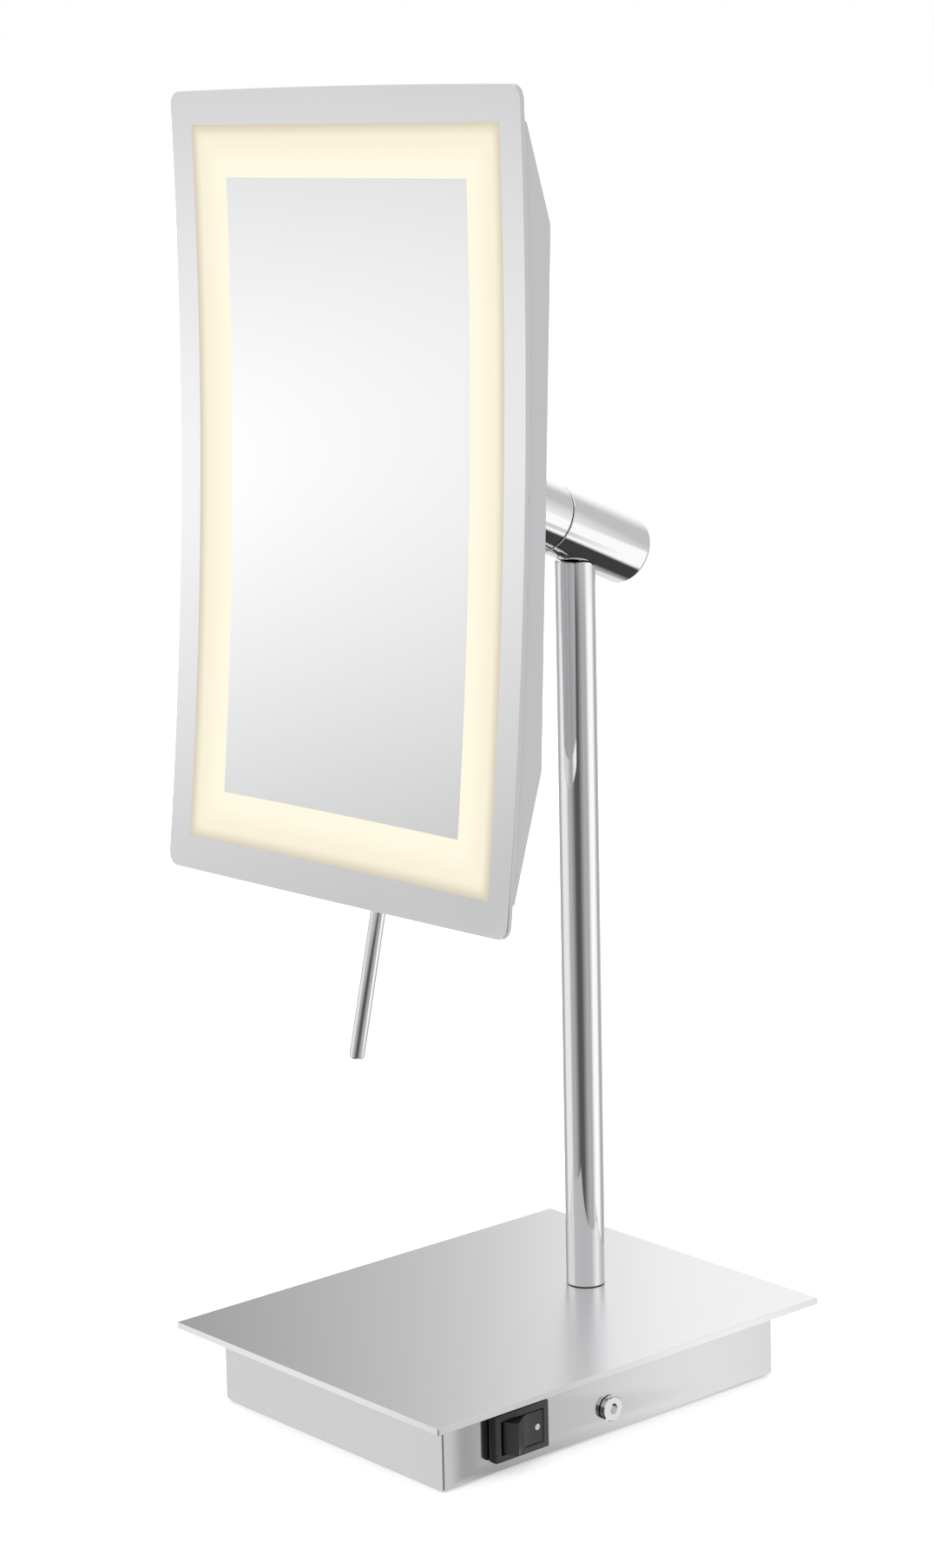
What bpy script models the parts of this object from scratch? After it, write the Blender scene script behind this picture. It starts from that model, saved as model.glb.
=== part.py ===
"""Countertop mirror with a lit frame: base, pole, inclined barrel with a ball joint, and a concave glass.

World frame: +X is the user's right, +Y the rear, +Z up, and the origin lies under the middle of the base.
The barrel's frame has +Z along the barrel, towards the glass, with its origin at the collar's seam.
The head's frame has its origin at the ball's centre, +Y to the rear and +Z up the glass.
"""
import math

import bmesh
import bpy
from mathutils import Matrix, Vector

MM = 0.001
RIGHT = Vector((1, 0, 0))
REAR = Vector((0, 1, 0))
UP = Vector((0, 0, 1))

# Clearance between two pieces that touch or fit.
CLEAR = 0.3 * MM

# Base
PLATE_WIDTH = 120 * MM
PLATE_DEPTH = 152 * MM
PLATE_THICKNESS = 2 * MM
PLATE_CORNER = 0.4 * MM
PLATE_EDGE = 0.25 * MM
BOX_INSET = 10 * MM
BOX_HEIGHT = 21.7 * MM
BOX_WALL = 1.5 * MM
BOX_CORNER = 0.5 * MM
BOX_LIFT = 1 * MM
COVER_RECESS = 0.5 * MM
COVER_THICKNESS = 1.5 * MM
FOOT_RADIUS = 6 * MM
FOOT_EDGE = 11 * MM

# Ballast, with a well around the pole's nut
BALLAST_FRONT = -14 * MM
BALLAST_REAR = 46 * MM
BALLAST_HEADROOM = 6.2 * MM
WELL_RADIUS = 12 * MM

# Fasteners: cap screws in the sides, countersunk screws in the bottom cover and in the hub's flange
SIDE_SCREW_Y = -2 * MM
SIDE_SCREW_Z = 8.4 * MM
SIDE_SCREW_RADIUS = 2 * MM
SIDE_SCREW_LENGTH = 12 * MM
SIDE_HEAD_RADIUS = 3.8 * MM
SIDE_HEAD_HEIGHT = 1.6 * MM
SIDE_HEX_RADIUS = 1.85 * MM
SMALL_SCREW_RADIUS = 1.5 * MM
SMALL_HEAD_RADIUS = 2.8 * MM
SMALL_HEAD_HEIGHT = 1.2 * MM
SMALL_HEX_RADIUS = 1.2 * MM
COVER_SCREW_LENGTH = 8 * MM
COVER_SCREW_X = 36 * MM
COVER_SCREW_EDGE = 8 * MM

# Rocker switch in the right side
SWITCH_Y = -38.95 * MM
SWITCH_Z = 12.1 * MM
BEZEL_LENGTH = 20.4 * MM
BEZEL_HEIGHT = 14.2 * MM
BEZEL_PROUD = 3.5 * MM
WINDOW_LENGTH = 16.2 * MM
WINDOW_HEIGHT = 10.2 * MM
SWITCH_BODY_LENGTH = 18.4 * MM
SWITCH_BODY_HEIGHT = 12.2 * MM
SWITCH_BODY_DEPTH = 12 * MM
SWITCH_WELL = 8 * MM
ROCKER_SWING = math.radians(34)
ROCKER_VALLEY = 2.7 * MM
ROCKER_PIN_RADIUS = 0.8 * MM
ROCKER_PIN_DEPTH = 2.45 * MM
ROCKER_ROUNDING = 1.2 * MM
PIN_COVER = 0.8 * MM
BEZEL_EDGE = 0.4 * MM
TERMINAL_LENGTH = 6 * MM
TERMINAL_SPACING = 7 * MM
TERMINAL_WIDTH = 4.8 * MM
TERMINAL_THICKNESS = 0.8 * MM
TERMINAL_GRIP = 3 * MM

# Driver board and its parts
BOARD_LENGTH = 46 * MM
BOARD_WIDTH = 34 * MM
BOARD_THICKNESS = 1.6 * MM
BOARD_X = -14 * MM
BOARD_Y = -39 * MM
BOARD_LIFT = 2.5 * MM
INDUCTOR_RADIUS = 6 * MM
INDUCTOR_HEIGHT = 7 * MM
INDUCTOR_BORE = 2 * MM
CAPACITOR_RADIUS = 4 * MM
CAPACITOR_HEIGHT = 10 * MM
CONNECTOR_LENGTH = 10 * MM
CONNECTOR_HEIGHT = 7 * MM

# Low-voltage inlet in the rear
INLET_X = -30 * MM
INLET_Z = 12 * MM
INLET_RADIUS = 4.2 * MM
INLET_BORE = 3.1 * MM
INLET_FLANGE = 6.2 * MM
INLET_FLANGE_THICKNESS = 1.6 * MM
INLET_NUT_HEIGHT = 2.4 * MM
INLET_PIN_RADIUS = 1 * MM
INLET_DEPTH = 12 * MM

# Pole
POLE_Y = 36 * MM
POLE_RADIUS = 6 * MM
POLE_WALL = 1.5 * MM
POLE_TOP = 249.2 * MM
PLUG_BORE = 2 * MM
FOOT_PLUG_GRIP = 14 * MM
TOP_PLUG_LENGTH = 14 * MM
NUT_RADIUS = 7.5 * MM
NUT_HEIGHT = 4 * MM
WASHER_RADIUS = 8.5 * MM
WASHER_THICKNESS = 1.2 * MM

# Barrel
BARREL_RISE = math.radians(23)
SEAM_Y = 26 * MM
SEAM_Z = 262.6 * MM
SEAM_GAP = 0.4 * MM
COLLAR_WALL = 1.9 * MM
BARREL_WALL = 3 * MM
BARREL_LENGTH = 34.1 * MM
BARREL_EDGE = 1.8 * MM
STUD_RADIUS = 2.8 * MM
STUD_BORE = 1.6 * MM

# Ball joint
BALL_DISTANCE = 25.4 * MM
BALL_RADIUS = 6.5 * MM
LINER_THICKNESS = 1.2 * MM
LIP_ANGLE = math.radians(68)
NECK_RADIUS = 2.2 * MM
NECK_BORE = 1.2 * MM
NECK_SOCKET = 3.5 * MM
RING_REACH = 8 * MM
SPRING_THICKNESS = 0.8 * MM
SPRING_CONE = 0.7 * MM
CUP_LENGTH = 5 * MM
PAN_LIMIT = math.radians(25)
TILT_UP = math.radians(40)
TILT_DOWN = math.radians(18)

# Head: its attitude, the glass and the housing behind it
HEAD_PITCH = math.radians(-3.5)
HEAD_ROLL = math.radians(-1)
GLASS_WIDTH = 151 * MM
GLASS_HEIGHT = 226 * MM
GLASS_THICKNESS = 1.5 * MM
GLASS_CORNER = 4 * MM
GLASS_CROWN = 0.7 * MM
GLASS_CURVE = 1500 * MM
GLASS_REACH = 52.24 * MM
HOUSING_INSET = 0.8 * MM
HOUSING_RIM_INSET = 9.5 * MM
HOUSING_DEPTH = 6.24 * MM
HOUSING_WALL = 1.2 * MM
HOUSING_LAND = 0.8 * MM
TOP_SLOPE = 26.5 * MM
BOTTOM_SLOPE = 35.5 * MM
RIM_GAP = 0.3 * MM

# Light frame
BAND_MARGIN = 9 * MM
BAND_FRAME = 14.5 * MM
DIFFUSER_THICKNESS = 0.6 * MM
DIFFUSER_TRIM = 8 * MM
TRAY_THICKNESS = 0.8 * MM
TRAY_MARGIN = 4 * MM
TRAY_WINDOW = 52 * MM
LED_PITCH = 15 * MM
LED_SIZE = 3 * MM
LED_HEIGHT = 0.6 * MM
STRIP_WIDTH = 3.6 * MM
STRIP_THICKNESS = 0.7 * MM
STRIP_LENGTH = 110 * MM
STRIP_OFFSET = 61 * MM

# Joint hub and the lever
HUB_RADIUS = 10 * MM
HUB_START = 12.5 * MM
HUB_SHOULDER = 15.5 * MM
HUB_NOSE = 5 * MM
LEAD_BORE = 1.6 * MM
FLANGE_RADIUS = 17.4 * MM
FLANGE_THICKNESS = 2.7 * MM
FLANGE_SCREW_CIRCLE = 14 * MM
FLANGE_SCREW_LENGTH = 6.2 * MM
FLANGE_HEAD_HEIGHT = 1.8 * MM
BACKING_SIZE = 44 * MM
BACKING_THICKNESS = 1.2 * MM
LEVER_ROOT = 18.8 * MM
LEVER_LEAN = math.radians(10.2)
LEVER_LENGTH = 163 * MM
LEVER_RADIUS = 2.25 * MM
LEVER_EDGE = 1.2 * MM
LEVER_SEAT = 3.4 * MM
LEVER_NUT_RADIUS = 4.4 * MM
LEVER_NUT_HEIGHT = 3 * MM

LEAD_RADIUS = 0.7 * MM
HEAD_LEAD_RADIUS = 0.5 * MM

# Worked out from the sizes above
BOX_BOTTOM = BOX_LIFT
BOX_TOP = BOX_BOTTOM + BOX_HEIGHT
PLATE_BOTTOM = BOX_TOP + CLEAR
PLATE_TOP = PLATE_BOTTOM + PLATE_THICKNESS
BOX_WIDTH = PLATE_WIDTH - 2 * BOX_INSET
BOX_DEPTH = PLATE_DEPTH - 2 * BOX_INSET
INNER_WIDTH = BOX_WIDTH - 2 * BOX_WALL
INNER_DEPTH = BOX_DEPTH - 2 * BOX_WALL
COVER_BOTTOM = BOX_BOTTOM + COVER_RECESS
COVER_TOP = COVER_BOTTOM + COVER_THICKNESS
BALLAST_BOTTOM = COVER_TOP + CLEAR
BALLAST_TOP = PLATE_BOTTOM - BALLAST_HEADROOM
POLE_BORE = POLE_RADIUS - POLE_WALL
POLE_BOTTOM = PLATE_TOP + CLEAR
PLUG_RADIUS = POLE_BORE - CLEAR
LINER_INNER = BALL_RADIUS + CLEAR
LINER_OUTER = LINER_INNER + LINER_THICKNESS
COLLAR_BORE = LINER_OUTER + CLEAR
BARREL_RADIUS = COLLAR_BORE + COLLAR_WALL
BARREL_BORE = BARREL_RADIUS - BARREL_WALL
HALF_WIDTH = GLASS_WIDTH / 2
HALF_HEIGHT = GLASS_HEIGHT / 2
HOUSING_HALF_WIDTH = HALF_WIDTH - HOUSING_INSET
HOUSING_RIM = HALF_HEIGHT - HOUSING_RIM_INSET
FLAT_TOP = HOUSING_RIM - TOP_SLOPE
FLAT_BOTTOM = BOTTOM_SLOPE - HOUSING_RIM
BAND_HALF_WIDTH = HALF_WIDTH - BAND_MARGIN
BAND_HALF_HEIGHT = HALF_HEIGHT - BAND_MARGIN
HOUSING_BACK = HOUSING_DEPTH - GLASS_REACH
HOUSING_INSIDE = HOUSING_BACK - HOUSING_WALL
TRAY_BACK = HOUSING_INSIDE - CLEAR
TRAY_FRONT = TRAY_BACK - TRAY_THICKNESS

SEAM = Vector((0, SEAM_Y, SEAM_Z))
BARREL_DIRECTION = Vector((0, -math.cos(BARREL_RISE), math.sin(BARREL_RISE)))
BALL_CENTRE = SEAM + BARREL_DIRECTION * BALL_DISTANCE
BARREL_AXIS_AT_POLE = SEAM_Z - (POLE_Y - SEAM_Y) * math.tan(BARREL_RISE)
STUD_TOP = BARREL_AXIS_AT_POLE - (BARREL_BORE - MM) / math.cos(BARREL_RISE)
LEVER_AXIS = Vector((0, -math.sin(LEVER_LEAN), -math.cos(LEVER_LEAN)))
LEVER_FOOT = Vector((0, -LEVER_ROOT, 0))
LEVER_START = LEVER_FOOT + LEVER_AXIS * LEVER_SEAT
FLANGE_REAR = HOUSING_BACK + CLEAR + FLANGE_THICKNESS
FLANGE_SCREW_PLACES = []
for turn in (90, 210, 330):
    angle = math.radians(turn)
    x = FLANGE_SCREW_CIRCLE * math.cos(angle)
    z = FLANGE_SCREW_CIRCLE * math.sin(angle)
    FLANGE_SCREW_PLACES.append(Vector((x, FLANGE_REAR, z)))
COVER_SCREW_PLACES = []
for screw_y in (BALLAST_FRONT + COVER_SCREW_EDGE, BALLAST_REAR - COVER_SCREW_EDGE):
    for screw_x in (-COVER_SCREW_X, COVER_SCREW_X):
        COVER_SCREW_PLACES.append(Vector((screw_x, screw_y, COVER_BOTTOM)))


# ---------------------------------------------------------------- scene and helpers

def clear_scene():
    for obj in list(bpy.data.objects):
        bpy.data.objects.remove(obj, do_unlink=True)
    for mesh in list(bpy.data.meshes):
        bpy.data.meshes.remove(mesh)


def make_collection(name):
    collection = bpy.data.collections.new(name)
    bpy.context.scene.collection.children.link(collection)
    return collection


clear_scene()
PARTS = make_collection("countertop_mirror")
CUTTERS = make_collection("cutters")

# Pieces whose sharp edges are marked once every piece is made
LATER = []


def make_empty(name, matrix, parent=None):
    empty = bpy.data.objects.new(name, None)
    empty.empty_display_size = 0.01
    CUTTERS.objects.link(empty)
    empty.parent = parent
    empty.matrix_basis = matrix
    return empty


BARREL_ATTITUDE = Matrix.Rotation(math.pi / 2 - BARREL_RISE, 4, "X")
BARREL_FRAME = make_empty("barrel_axis", Matrix.Translation(SEAM) @ BARREL_ATTITUDE)
HEAD_ATTITUDE = Matrix.Rotation(HEAD_ROLL, 4, "Y") @ Matrix.Rotation(HEAD_PITCH, 4, "X")
HEAD_FRAME = make_empty("head_joint", Matrix.Translation(BALL_CENTRE) @ HEAD_ATTITUDE)
LINER_FRAME = make_empty("ball_pan", Matrix.Translation(BALL_CENTRE))
ROCKER_X = BOX_WIDTH / 2 + BEZEL_PROUD - ROCKER_PIN_DEPTH
ROCKER_FRAME = make_empty("rocker_pivot", Matrix.Translation((ROCKER_X, SWITCH_Y, SWITCH_Z)))


def make_material(name, colour, metallic, roughness):
    material = bpy.data.materials.new(name)
    material.use_nodes = True
    shader = material.node_tree.nodes["Principled BSDF"]
    shader.inputs["Base Color"].default_value = (*colour, 1)
    shader.inputs["Metallic"].default_value = metallic
    shader.inputs["Roughness"].default_value = roughness
    return material


FINISHES = {
    "chrome": ((0.82, 0.82, 0.84), 1.0, 0.08),
    "satin": ((0.70, 0.70, 0.72), 1.0, 0.28),
    "steel": ((0.45, 0.46, 0.48), 1.0, 0.40),
    "brass": ((0.72, 0.55, 0.25), 1.0, 0.35),
    "black": ((0.03, 0.03, 0.035), 0.0, 0.40),
    "rubber": ((0.05, 0.05, 0.05), 0.0, 0.80),
    "nylon": ((0.85, 0.84, 0.80), 0.0, 0.45),
    "white": ((0.92, 0.92, 0.90), 0.0, 0.35),
    "opal": ((0.98, 0.95, 0.84), 0.0, 0.50),
    "silver": ((0.55, 0.55, 0.57), 0.6, 0.35),
    "mirror": ((0.88, 0.88, 0.90), 1.0, 0.02),
    "board": ((0.05, 0.25, 0.12), 0.0, 0.50),
    "wire": ((0.75, 0.75, 0.73), 0.0, 0.50),
}


def place(obj, finish, parent=None, matrix=None):
    """Puts an object among the parts, or among the cutters when it has no finish."""
    for collection in list(obj.users_collection):
        collection.objects.unlink(obj)
    obj.parent = parent
    obj.matrix_basis = matrix or Matrix()
    if finish is None:
        CUTTERS.objects.link(obj)
        obj.hide_render = True
        obj.display_type = "WIRE"
        return obj
    PARTS.objects.link(obj)
    obj.data.materials.append(make_material(obj.name, *FINISHES[finish]))
    return obj


def from_bmesh(name, bm, smooth_angle=None):
    bmesh.ops.recalc_face_normals(bm, faces=bm.faces)
    mesh = bpy.data.meshes.new(name)
    bm.to_mesh(mesh)
    bm.free()
    if smooth_angle:
        mesh.shade_smooth()
        mesh.set_sharp_from_angle(angle=smooth_angle)
    return bpy.data.objects.new(name, mesh)


def box(name, finish, low, high, parent=None, matrix=None):
    """A block between two opposite corners."""
    low = Vector(low)
    high = Vector(high)
    bm = bmesh.new()
    bmesh.ops.create_cube(bm, size=1)
    bmesh.ops.scale(bm, vec=high - low, verts=bm.verts)
    bmesh.ops.translate(bm, vec=(low + high) / 2, verts=bm.verts)
    return place(from_bmesh(name, bm), finish, parent, matrix)


def rod(name, finish, radius, start, end, parent=None, matrix=None, sides=16):
    """A round bar between two points, or a hexagonal one with six sides."""
    start = Vector(start)
    end = Vector(end)
    bm = bmesh.new()
    length = (end - start).length
    bmesh.ops.create_cone(bm, cap_ends=True, segments=sides, radius1=radius, radius2=radius, depth=length)
    turn = UP.rotation_difference(end - start).to_matrix().to_4x4()
    bmesh.ops.transform(bm, matrix=Matrix.Translation((start + end) / 2) @ turn, verts=bm.verts)
    return place(from_bmesh(name, bm, math.radians(30)), finish, parent, matrix)


def turned(name, finish, profile, parent=None, matrix=None, steps=20, closed=False):
    """Turns a profile of (radius, height) points about Z; it runs down the outer side, then up inside."""
    mesh = bpy.data.meshes.new(name)
    count = len(profile)
    edges = [(index, index + 1) for index in range(count - 1)]
    if closed:
        edges.append((count - 1, 0))
    mesh.from_pydata([(radius, 0, height) for radius, height in profile], edges, [])
    obj = bpy.data.objects.new(name, mesh)
    screw = obj.modifiers.new("turn", "SCREW")
    screw.steps = steps
    screw.render_steps = steps
    screw.use_merge_vertices = True
    screw.merge_threshold = 0.00001
    screw.use_smooth_shade = True
    place(obj, finish, parent, matrix)
    return obj


def arc(centre, radius, start, end, count):
    """Points of a profile along an arc; angles are measured from the axis, +Z."""
    points = []
    for index in range(count + 1):
        angle = start + (end - start) * index / count
        points.append((radius * math.sin(angle), centre + radius * math.cos(angle)))
    return points


def cut(target, cutter, operation="DIFFERENCE"):
    modifier = target.modifiers.new("cut", "BOOLEAN")
    modifier.operation = operation
    modifier.solver = "EXACT"
    modifier.object = cutter
    return target


def drill(target, radius, start, end, parent=None, sides=16):
    """Cuts a round hole between two points of the parent's frame."""
    name = "hole_%s_%d" % (target.name, len(target.modifiers))
    return cut(target, rod(name, None, radius, start, end, parent, sides=sides))


def sharpen(obj, angle=30):
    """Marks the sharp edges of a turned or cut piece after its other modifiers."""
    mesh = bpy.data.meshes.new_from_object(obj.evaluated_get(bpy.context.evaluated_depsgraph_get()))
    obj.modifiers.clear()
    old = obj.data
    obj.data = mesh
    mesh.name = obj.name
    bpy.data.meshes.remove(old)
    mesh.shade_smooth()
    mesh.set_sharp_from_angle(angle=math.radians(angle))
    return obj


def bevel(obj, width, segments=2, angle=40):
    modifier = obj.modifiers.new("edge", "BEVEL")
    modifier.width = width
    modifier.segments = segments
    modifier.limit_method = "ANGLE"
    modifier.angle_limit = math.radians(angle)
    return obj


def aim(point, direction):
    """A frame at a point with its Z axis along a direction."""
    turn = UP.rotation_difference(Vector(direction)).to_matrix().to_4x4()
    return Matrix.Translation(point) @ turn


def rounded_outline(width, height, corner, crown=0.0, arc_steps=5, edge_steps=8):
    """Points of a rectangle with round corners, whose two short sides may bulge by a crown."""
    half_width = width / 2
    half_height = height / 2
    quarter = []
    for index in range(arc_steps + 1):
        angle = math.pi / 2 * index / arc_steps
        x = half_width - corner + corner * math.cos(angle)
        quarter.append((x, half_height - corner + corner * math.sin(angle)))
    if crown:
        run = half_width - corner
        quarter += [(run * (1 - index / edge_steps), half_height) for index in range(1, edge_steps)]
    bulge = half_height - corner
    right = [(x, z + crown * (1 - (x / half_width) ** 2) if z > bulge else z) for x, z in quarter]
    top = right + [(0.0, half_height + crown)] * bool(crown) + [(-x, z) for x, z in reversed(right)]
    return top + [(-x, -z) for x, z in top]


def plate(name, finish, outline, thickness, parent=None, matrix=None):
    """A flat outline in the XY plane, as thick as it is asked to be, centred on that plane."""
    curve = bpy.data.curves.new(name, "CURVE")
    curve.dimensions = "2D"
    curve.fill_mode = "BOTH"
    curve.extrude = thickness / 2
    spline = curve.splines.new("POLY")
    spline.points.add(len(outline) - 1)
    for point, (x, y) in zip(spline.points, outline):
        point.co = (x, y, 0, 1)
    spline.use_cyclic_u = True
    drawn = bpy.data.objects.new(name + "_outline", curve)
    CUTTERS.objects.link(drawn)
    bpy.context.view_layer.update()
    mesh = bpy.data.meshes.new_from_object(drawn.evaluated_get(bpy.context.evaluated_depsgraph_get()))
    bpy.data.objects.remove(drawn, do_unlink=True)
    bm = bmesh.new()
    bm.from_mesh(mesh)
    bpy.data.meshes.remove(mesh)
    bmesh.ops.remove_doubles(bm, verts=bm.verts, dist=0.000001)
    return place(from_bmesh(name, bm, math.radians(30)), finish, parent, matrix)


def lead(name, finish, points, parent=None, radius=LEAD_RADIUS):
    """A wire along a chain of points."""
    curve = bpy.data.curves.new(name, "CURVE")
    curve.dimensions = "3D"
    curve.bevel_depth = radius
    curve.bevel_resolution = 1
    curve.use_fill_caps = True
    spline = curve.splines.new("POLY")
    spline.points.add(len(points) - 1)
    for point, place_at in zip(spline.points, points):
        point.co = (*place_at, 1)
    drawn = bpy.data.objects.new(name + "_route", curve)
    CUTTERS.objects.link(drawn)
    bpy.context.view_layer.update()
    mesh = bpy.data.meshes.new_from_object(drawn.evaluated_get(bpy.context.evaluated_depsgraph_get()))
    bpy.data.objects.remove(drawn, do_unlink=True)
    bm = bmesh.new()
    bm.from_mesh(mesh)
    bpy.data.meshes.remove(mesh)
    bmesh.ops.remove_doubles(bm, verts=bm.verts, dist=0.000001)
    return place(from_bmesh(name, bm, math.radians(50)), finish, parent)


def smooth_route(points, steps=4):
    """A smooth chain through a few route points."""
    chain = []
    last = len(points) - 1
    for index in range(last):
        before = Vector(points[max(index - 1, 0)])
        start = Vector(points[index])
        end = Vector(points[index + 1])
        after = Vector(points[min(index + 2, last)])
        for step in range(steps):
            t = step / steps
            first = 2 * start + (end - before) * t
            second = (2 * before - 5 * start + 4 * end - after) * t ** 2
            third = (3 * start - before - 3 * end + after) * t ** 3
            chain.append((first + second + third) / 2)
    chain.append(Vector(points[last]))
    return chain


def hex_screw(name, finish, radius, length, head_radius, head_height, hex_radius, parent, matrix, sunk=False):
    """A socket screw along +Z with its head's underside, or its top when sunk, at the frame's origin."""
    edge = head_height * 0.15
    if sunk:
        profile = [(0, 0), (head_radius, 0), (radius, -head_height)]
        top = 0
    else:
        profile = [(0, head_height), (head_radius - edge, head_height), (head_radius, head_height - edge)]
        profile += [(head_radius, 0), (radius, 0)]
        top = head_height
    profile += [(radius, -length + edge), (radius - edge, -length), (0, -length)]
    screw = turned(name, finish, profile, parent, matrix, steps=16)
    start = (0, 0, top - head_height * 0.7)
    end = (0, 0, top + head_height)
    cut(screw, rod(name + "_socket", None, hex_radius, start, end, parent, matrix, sides=6))
    return sharpen_later(screw)


def sharpen_later(obj):
    LATER.append(obj)
    return obj


# ---------------------------------------------------------------- base

def base_top_plate():
    outline = rounded_outline(PLATE_WIDTH, PLATE_DEPTH, PLATE_CORNER, arc_steps=3)
    middle = Matrix.Translation((0, 0, PLATE_BOTTOM + PLATE_THICKNESS / 2))
    top = plate("base_top_plate", "satin", outline, PLATE_THICKNESS, matrix=middle)
    drill(top, PLUG_RADIUS + CLEAR, (0, POLE_Y, 0), (0, POLE_Y, PLATE_TOP + PLATE_THICKNESS), sides=32)
    return sharpen_later(bevel(top, PLATE_EDGE, segments=1, angle=60))


def base_box():
    outer = rounded_outline(BOX_WIDTH, BOX_DEPTH, BOX_CORNER, arc_steps=4)
    inner = rounded_outline(INNER_WIDTH, INNER_DEPTH, BOX_CORNER / 2, arc_steps=2)
    middle = Matrix.Translation((0, 0, BOX_BOTTOM + BOX_HEIGHT / 2))
    walls = plate("base_box", "chrome", outer, BOX_HEIGHT, matrix=middle)
    cut(walls, plate("box_inside", None, inner, 2 * BOX_HEIGHT, matrix=middle))
    half_length = SWITCH_BODY_LENGTH / 2 + CLEAR
    half_height = SWITCH_BODY_HEIGHT / 2 + CLEAR
    low = (BOX_WIDTH / 2 - 2 * BOX_WALL, SWITCH_Y - half_length, SWITCH_Z - half_height)
    high = (BOX_WIDTH / 2 + BOX_WALL, SWITCH_Y + half_length, SWITCH_Z + half_height)
    cut(walls, box("switch_cutout", None, low, high))
    reach = BOX_WIDTH
    end = (reach, SIDE_SCREW_Y, SIDE_SCREW_Z)
    drill(walls, SIDE_SCREW_RADIUS + CLEAR, (-reach, SIDE_SCREW_Y, SIDE_SCREW_Z), end)
    inlet_start = (INLET_X, BOX_DEPTH / 2 - 2 * BOX_WALL, INLET_Z)
    cut(walls, rod("inlet_hole", None, INLET_RADIUS + CLEAR, inlet_start, (INLET_X, BOX_DEPTH, INLET_Z)))
    return sharpen_later(walls)


def bottom_cover():
    half_width = INNER_WIDTH / 2 - CLEAR
    half_depth = INNER_DEPTH / 2 - CLEAR
    low = (-half_width, -half_depth, COVER_BOTTOM)
    cover = box("bottom_cover", "steel", low, (half_width, half_depth, COVER_TOP))
    for index, spot in enumerate(COVER_SCREW_PLACES):
        slope = (SMALL_HEAD_RADIUS - SMALL_SCREW_RADIUS) / SMALL_HEAD_HEIGHT
        wide = SMALL_HEAD_RADIUS + CLEAR + slope * BOX_LIFT
        narrow = SMALL_SCREW_RADIUS + CLEAR
        sink = (wide - narrow) / slope
        profile = [(0, 2 * COVER_THICKNESS), (narrow, 2 * COVER_THICKNESS), (narrow, sink - BOX_LIFT)]
        profile += [(wide, -BOX_LIFT), (0, -BOX_LIFT)]
        cut(cover, turned("cover_sink_%d" % index, None, profile, matrix=Matrix.Translation(spot), steps=16))
    return sharpen_later(cover)


def cover_screws():
    for index, spot in enumerate(COVER_SCREW_PLACES):
        frame = aim(spot, -UP)
        name = "cover_screw_%d" % (index + 1)
        hex_screw(name, "steel", SMALL_SCREW_RADIUS, COVER_SCREW_LENGTH, SMALL_HEAD_RADIUS, SMALL_HEAD_HEIGHT,
                  SMALL_HEX_RADIUS, None, frame, sunk=True)


def rubber_feet():
    height = COVER_BOTTOM - CLEAR
    edge = height / 4
    count = 0
    for side_y in (-1, 1):
        for side_x in (-1, 1):
            count += 1
            x = side_x * (BOX_WIDTH / 2 - FOOT_EDGE)
            y = side_y * (BOX_DEPTH / 2 - FOOT_EDGE)
            profile = [(0, height), (FOOT_RADIUS, height), (FOOT_RADIUS, edge)]
            profile += [(FOOT_RADIUS - edge, 0), (0, 0)]
            frame = Matrix.Translation((x, y, 0))
            sharpen_later(turned("rubber_foot_%d" % count, "rubber", profile, matrix=frame))


def ballast_block():
    half_width = INNER_WIDTH / 2 - CLEAR
    low = (-half_width, BALLAST_FRONT, BALLAST_BOTTOM)
    block = box("ballast_block", "steel", low, (half_width, BALLAST_REAR, BALLAST_TOP))
    drill(block, WELL_RADIUS, (0, POLE_Y, 0), (0, POLE_Y, PLATE_BOTTOM), sides=32)
    tapped = SIDE_SCREW_LENGTH + 2 * MM
    for side in (-1, 1):
        outer = (side * BOX_WIDTH / 2, SIDE_SCREW_Y, SIDE_SCREW_Z)
        inner = (side * (BOX_WIDTH / 2 - tapped), SIDE_SCREW_Y, SIDE_SCREW_Z)
        drill(block, SIDE_SCREW_RADIUS + CLEAR, inner, outer)
    for spot in COVER_SCREW_PLACES:
        top = spot + UP * (COVER_SCREW_LENGTH + CLEAR)
        drill(block, SMALL_SCREW_RADIUS + CLEAR, (spot.x, spot.y, 0), top)
    return sharpen_later(block)


def side_screws():
    for name, side in (("side_screw_right", 1), ("side_screw_left", -1)):
        spot = Vector((side * (BOX_WIDTH / 2 + CLEAR), SIDE_SCREW_Y, SIDE_SCREW_Z))
        hex_screw(name, "chrome", SIDE_SCREW_RADIUS, SIDE_SCREW_LENGTH, SIDE_HEAD_RADIUS, SIDE_HEAD_HEIGHT,
                  SIDE_HEX_RADIUS, None, aim(spot, side * RIGHT))


# ---------------------------------------------------------------- rocker switch

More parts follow.
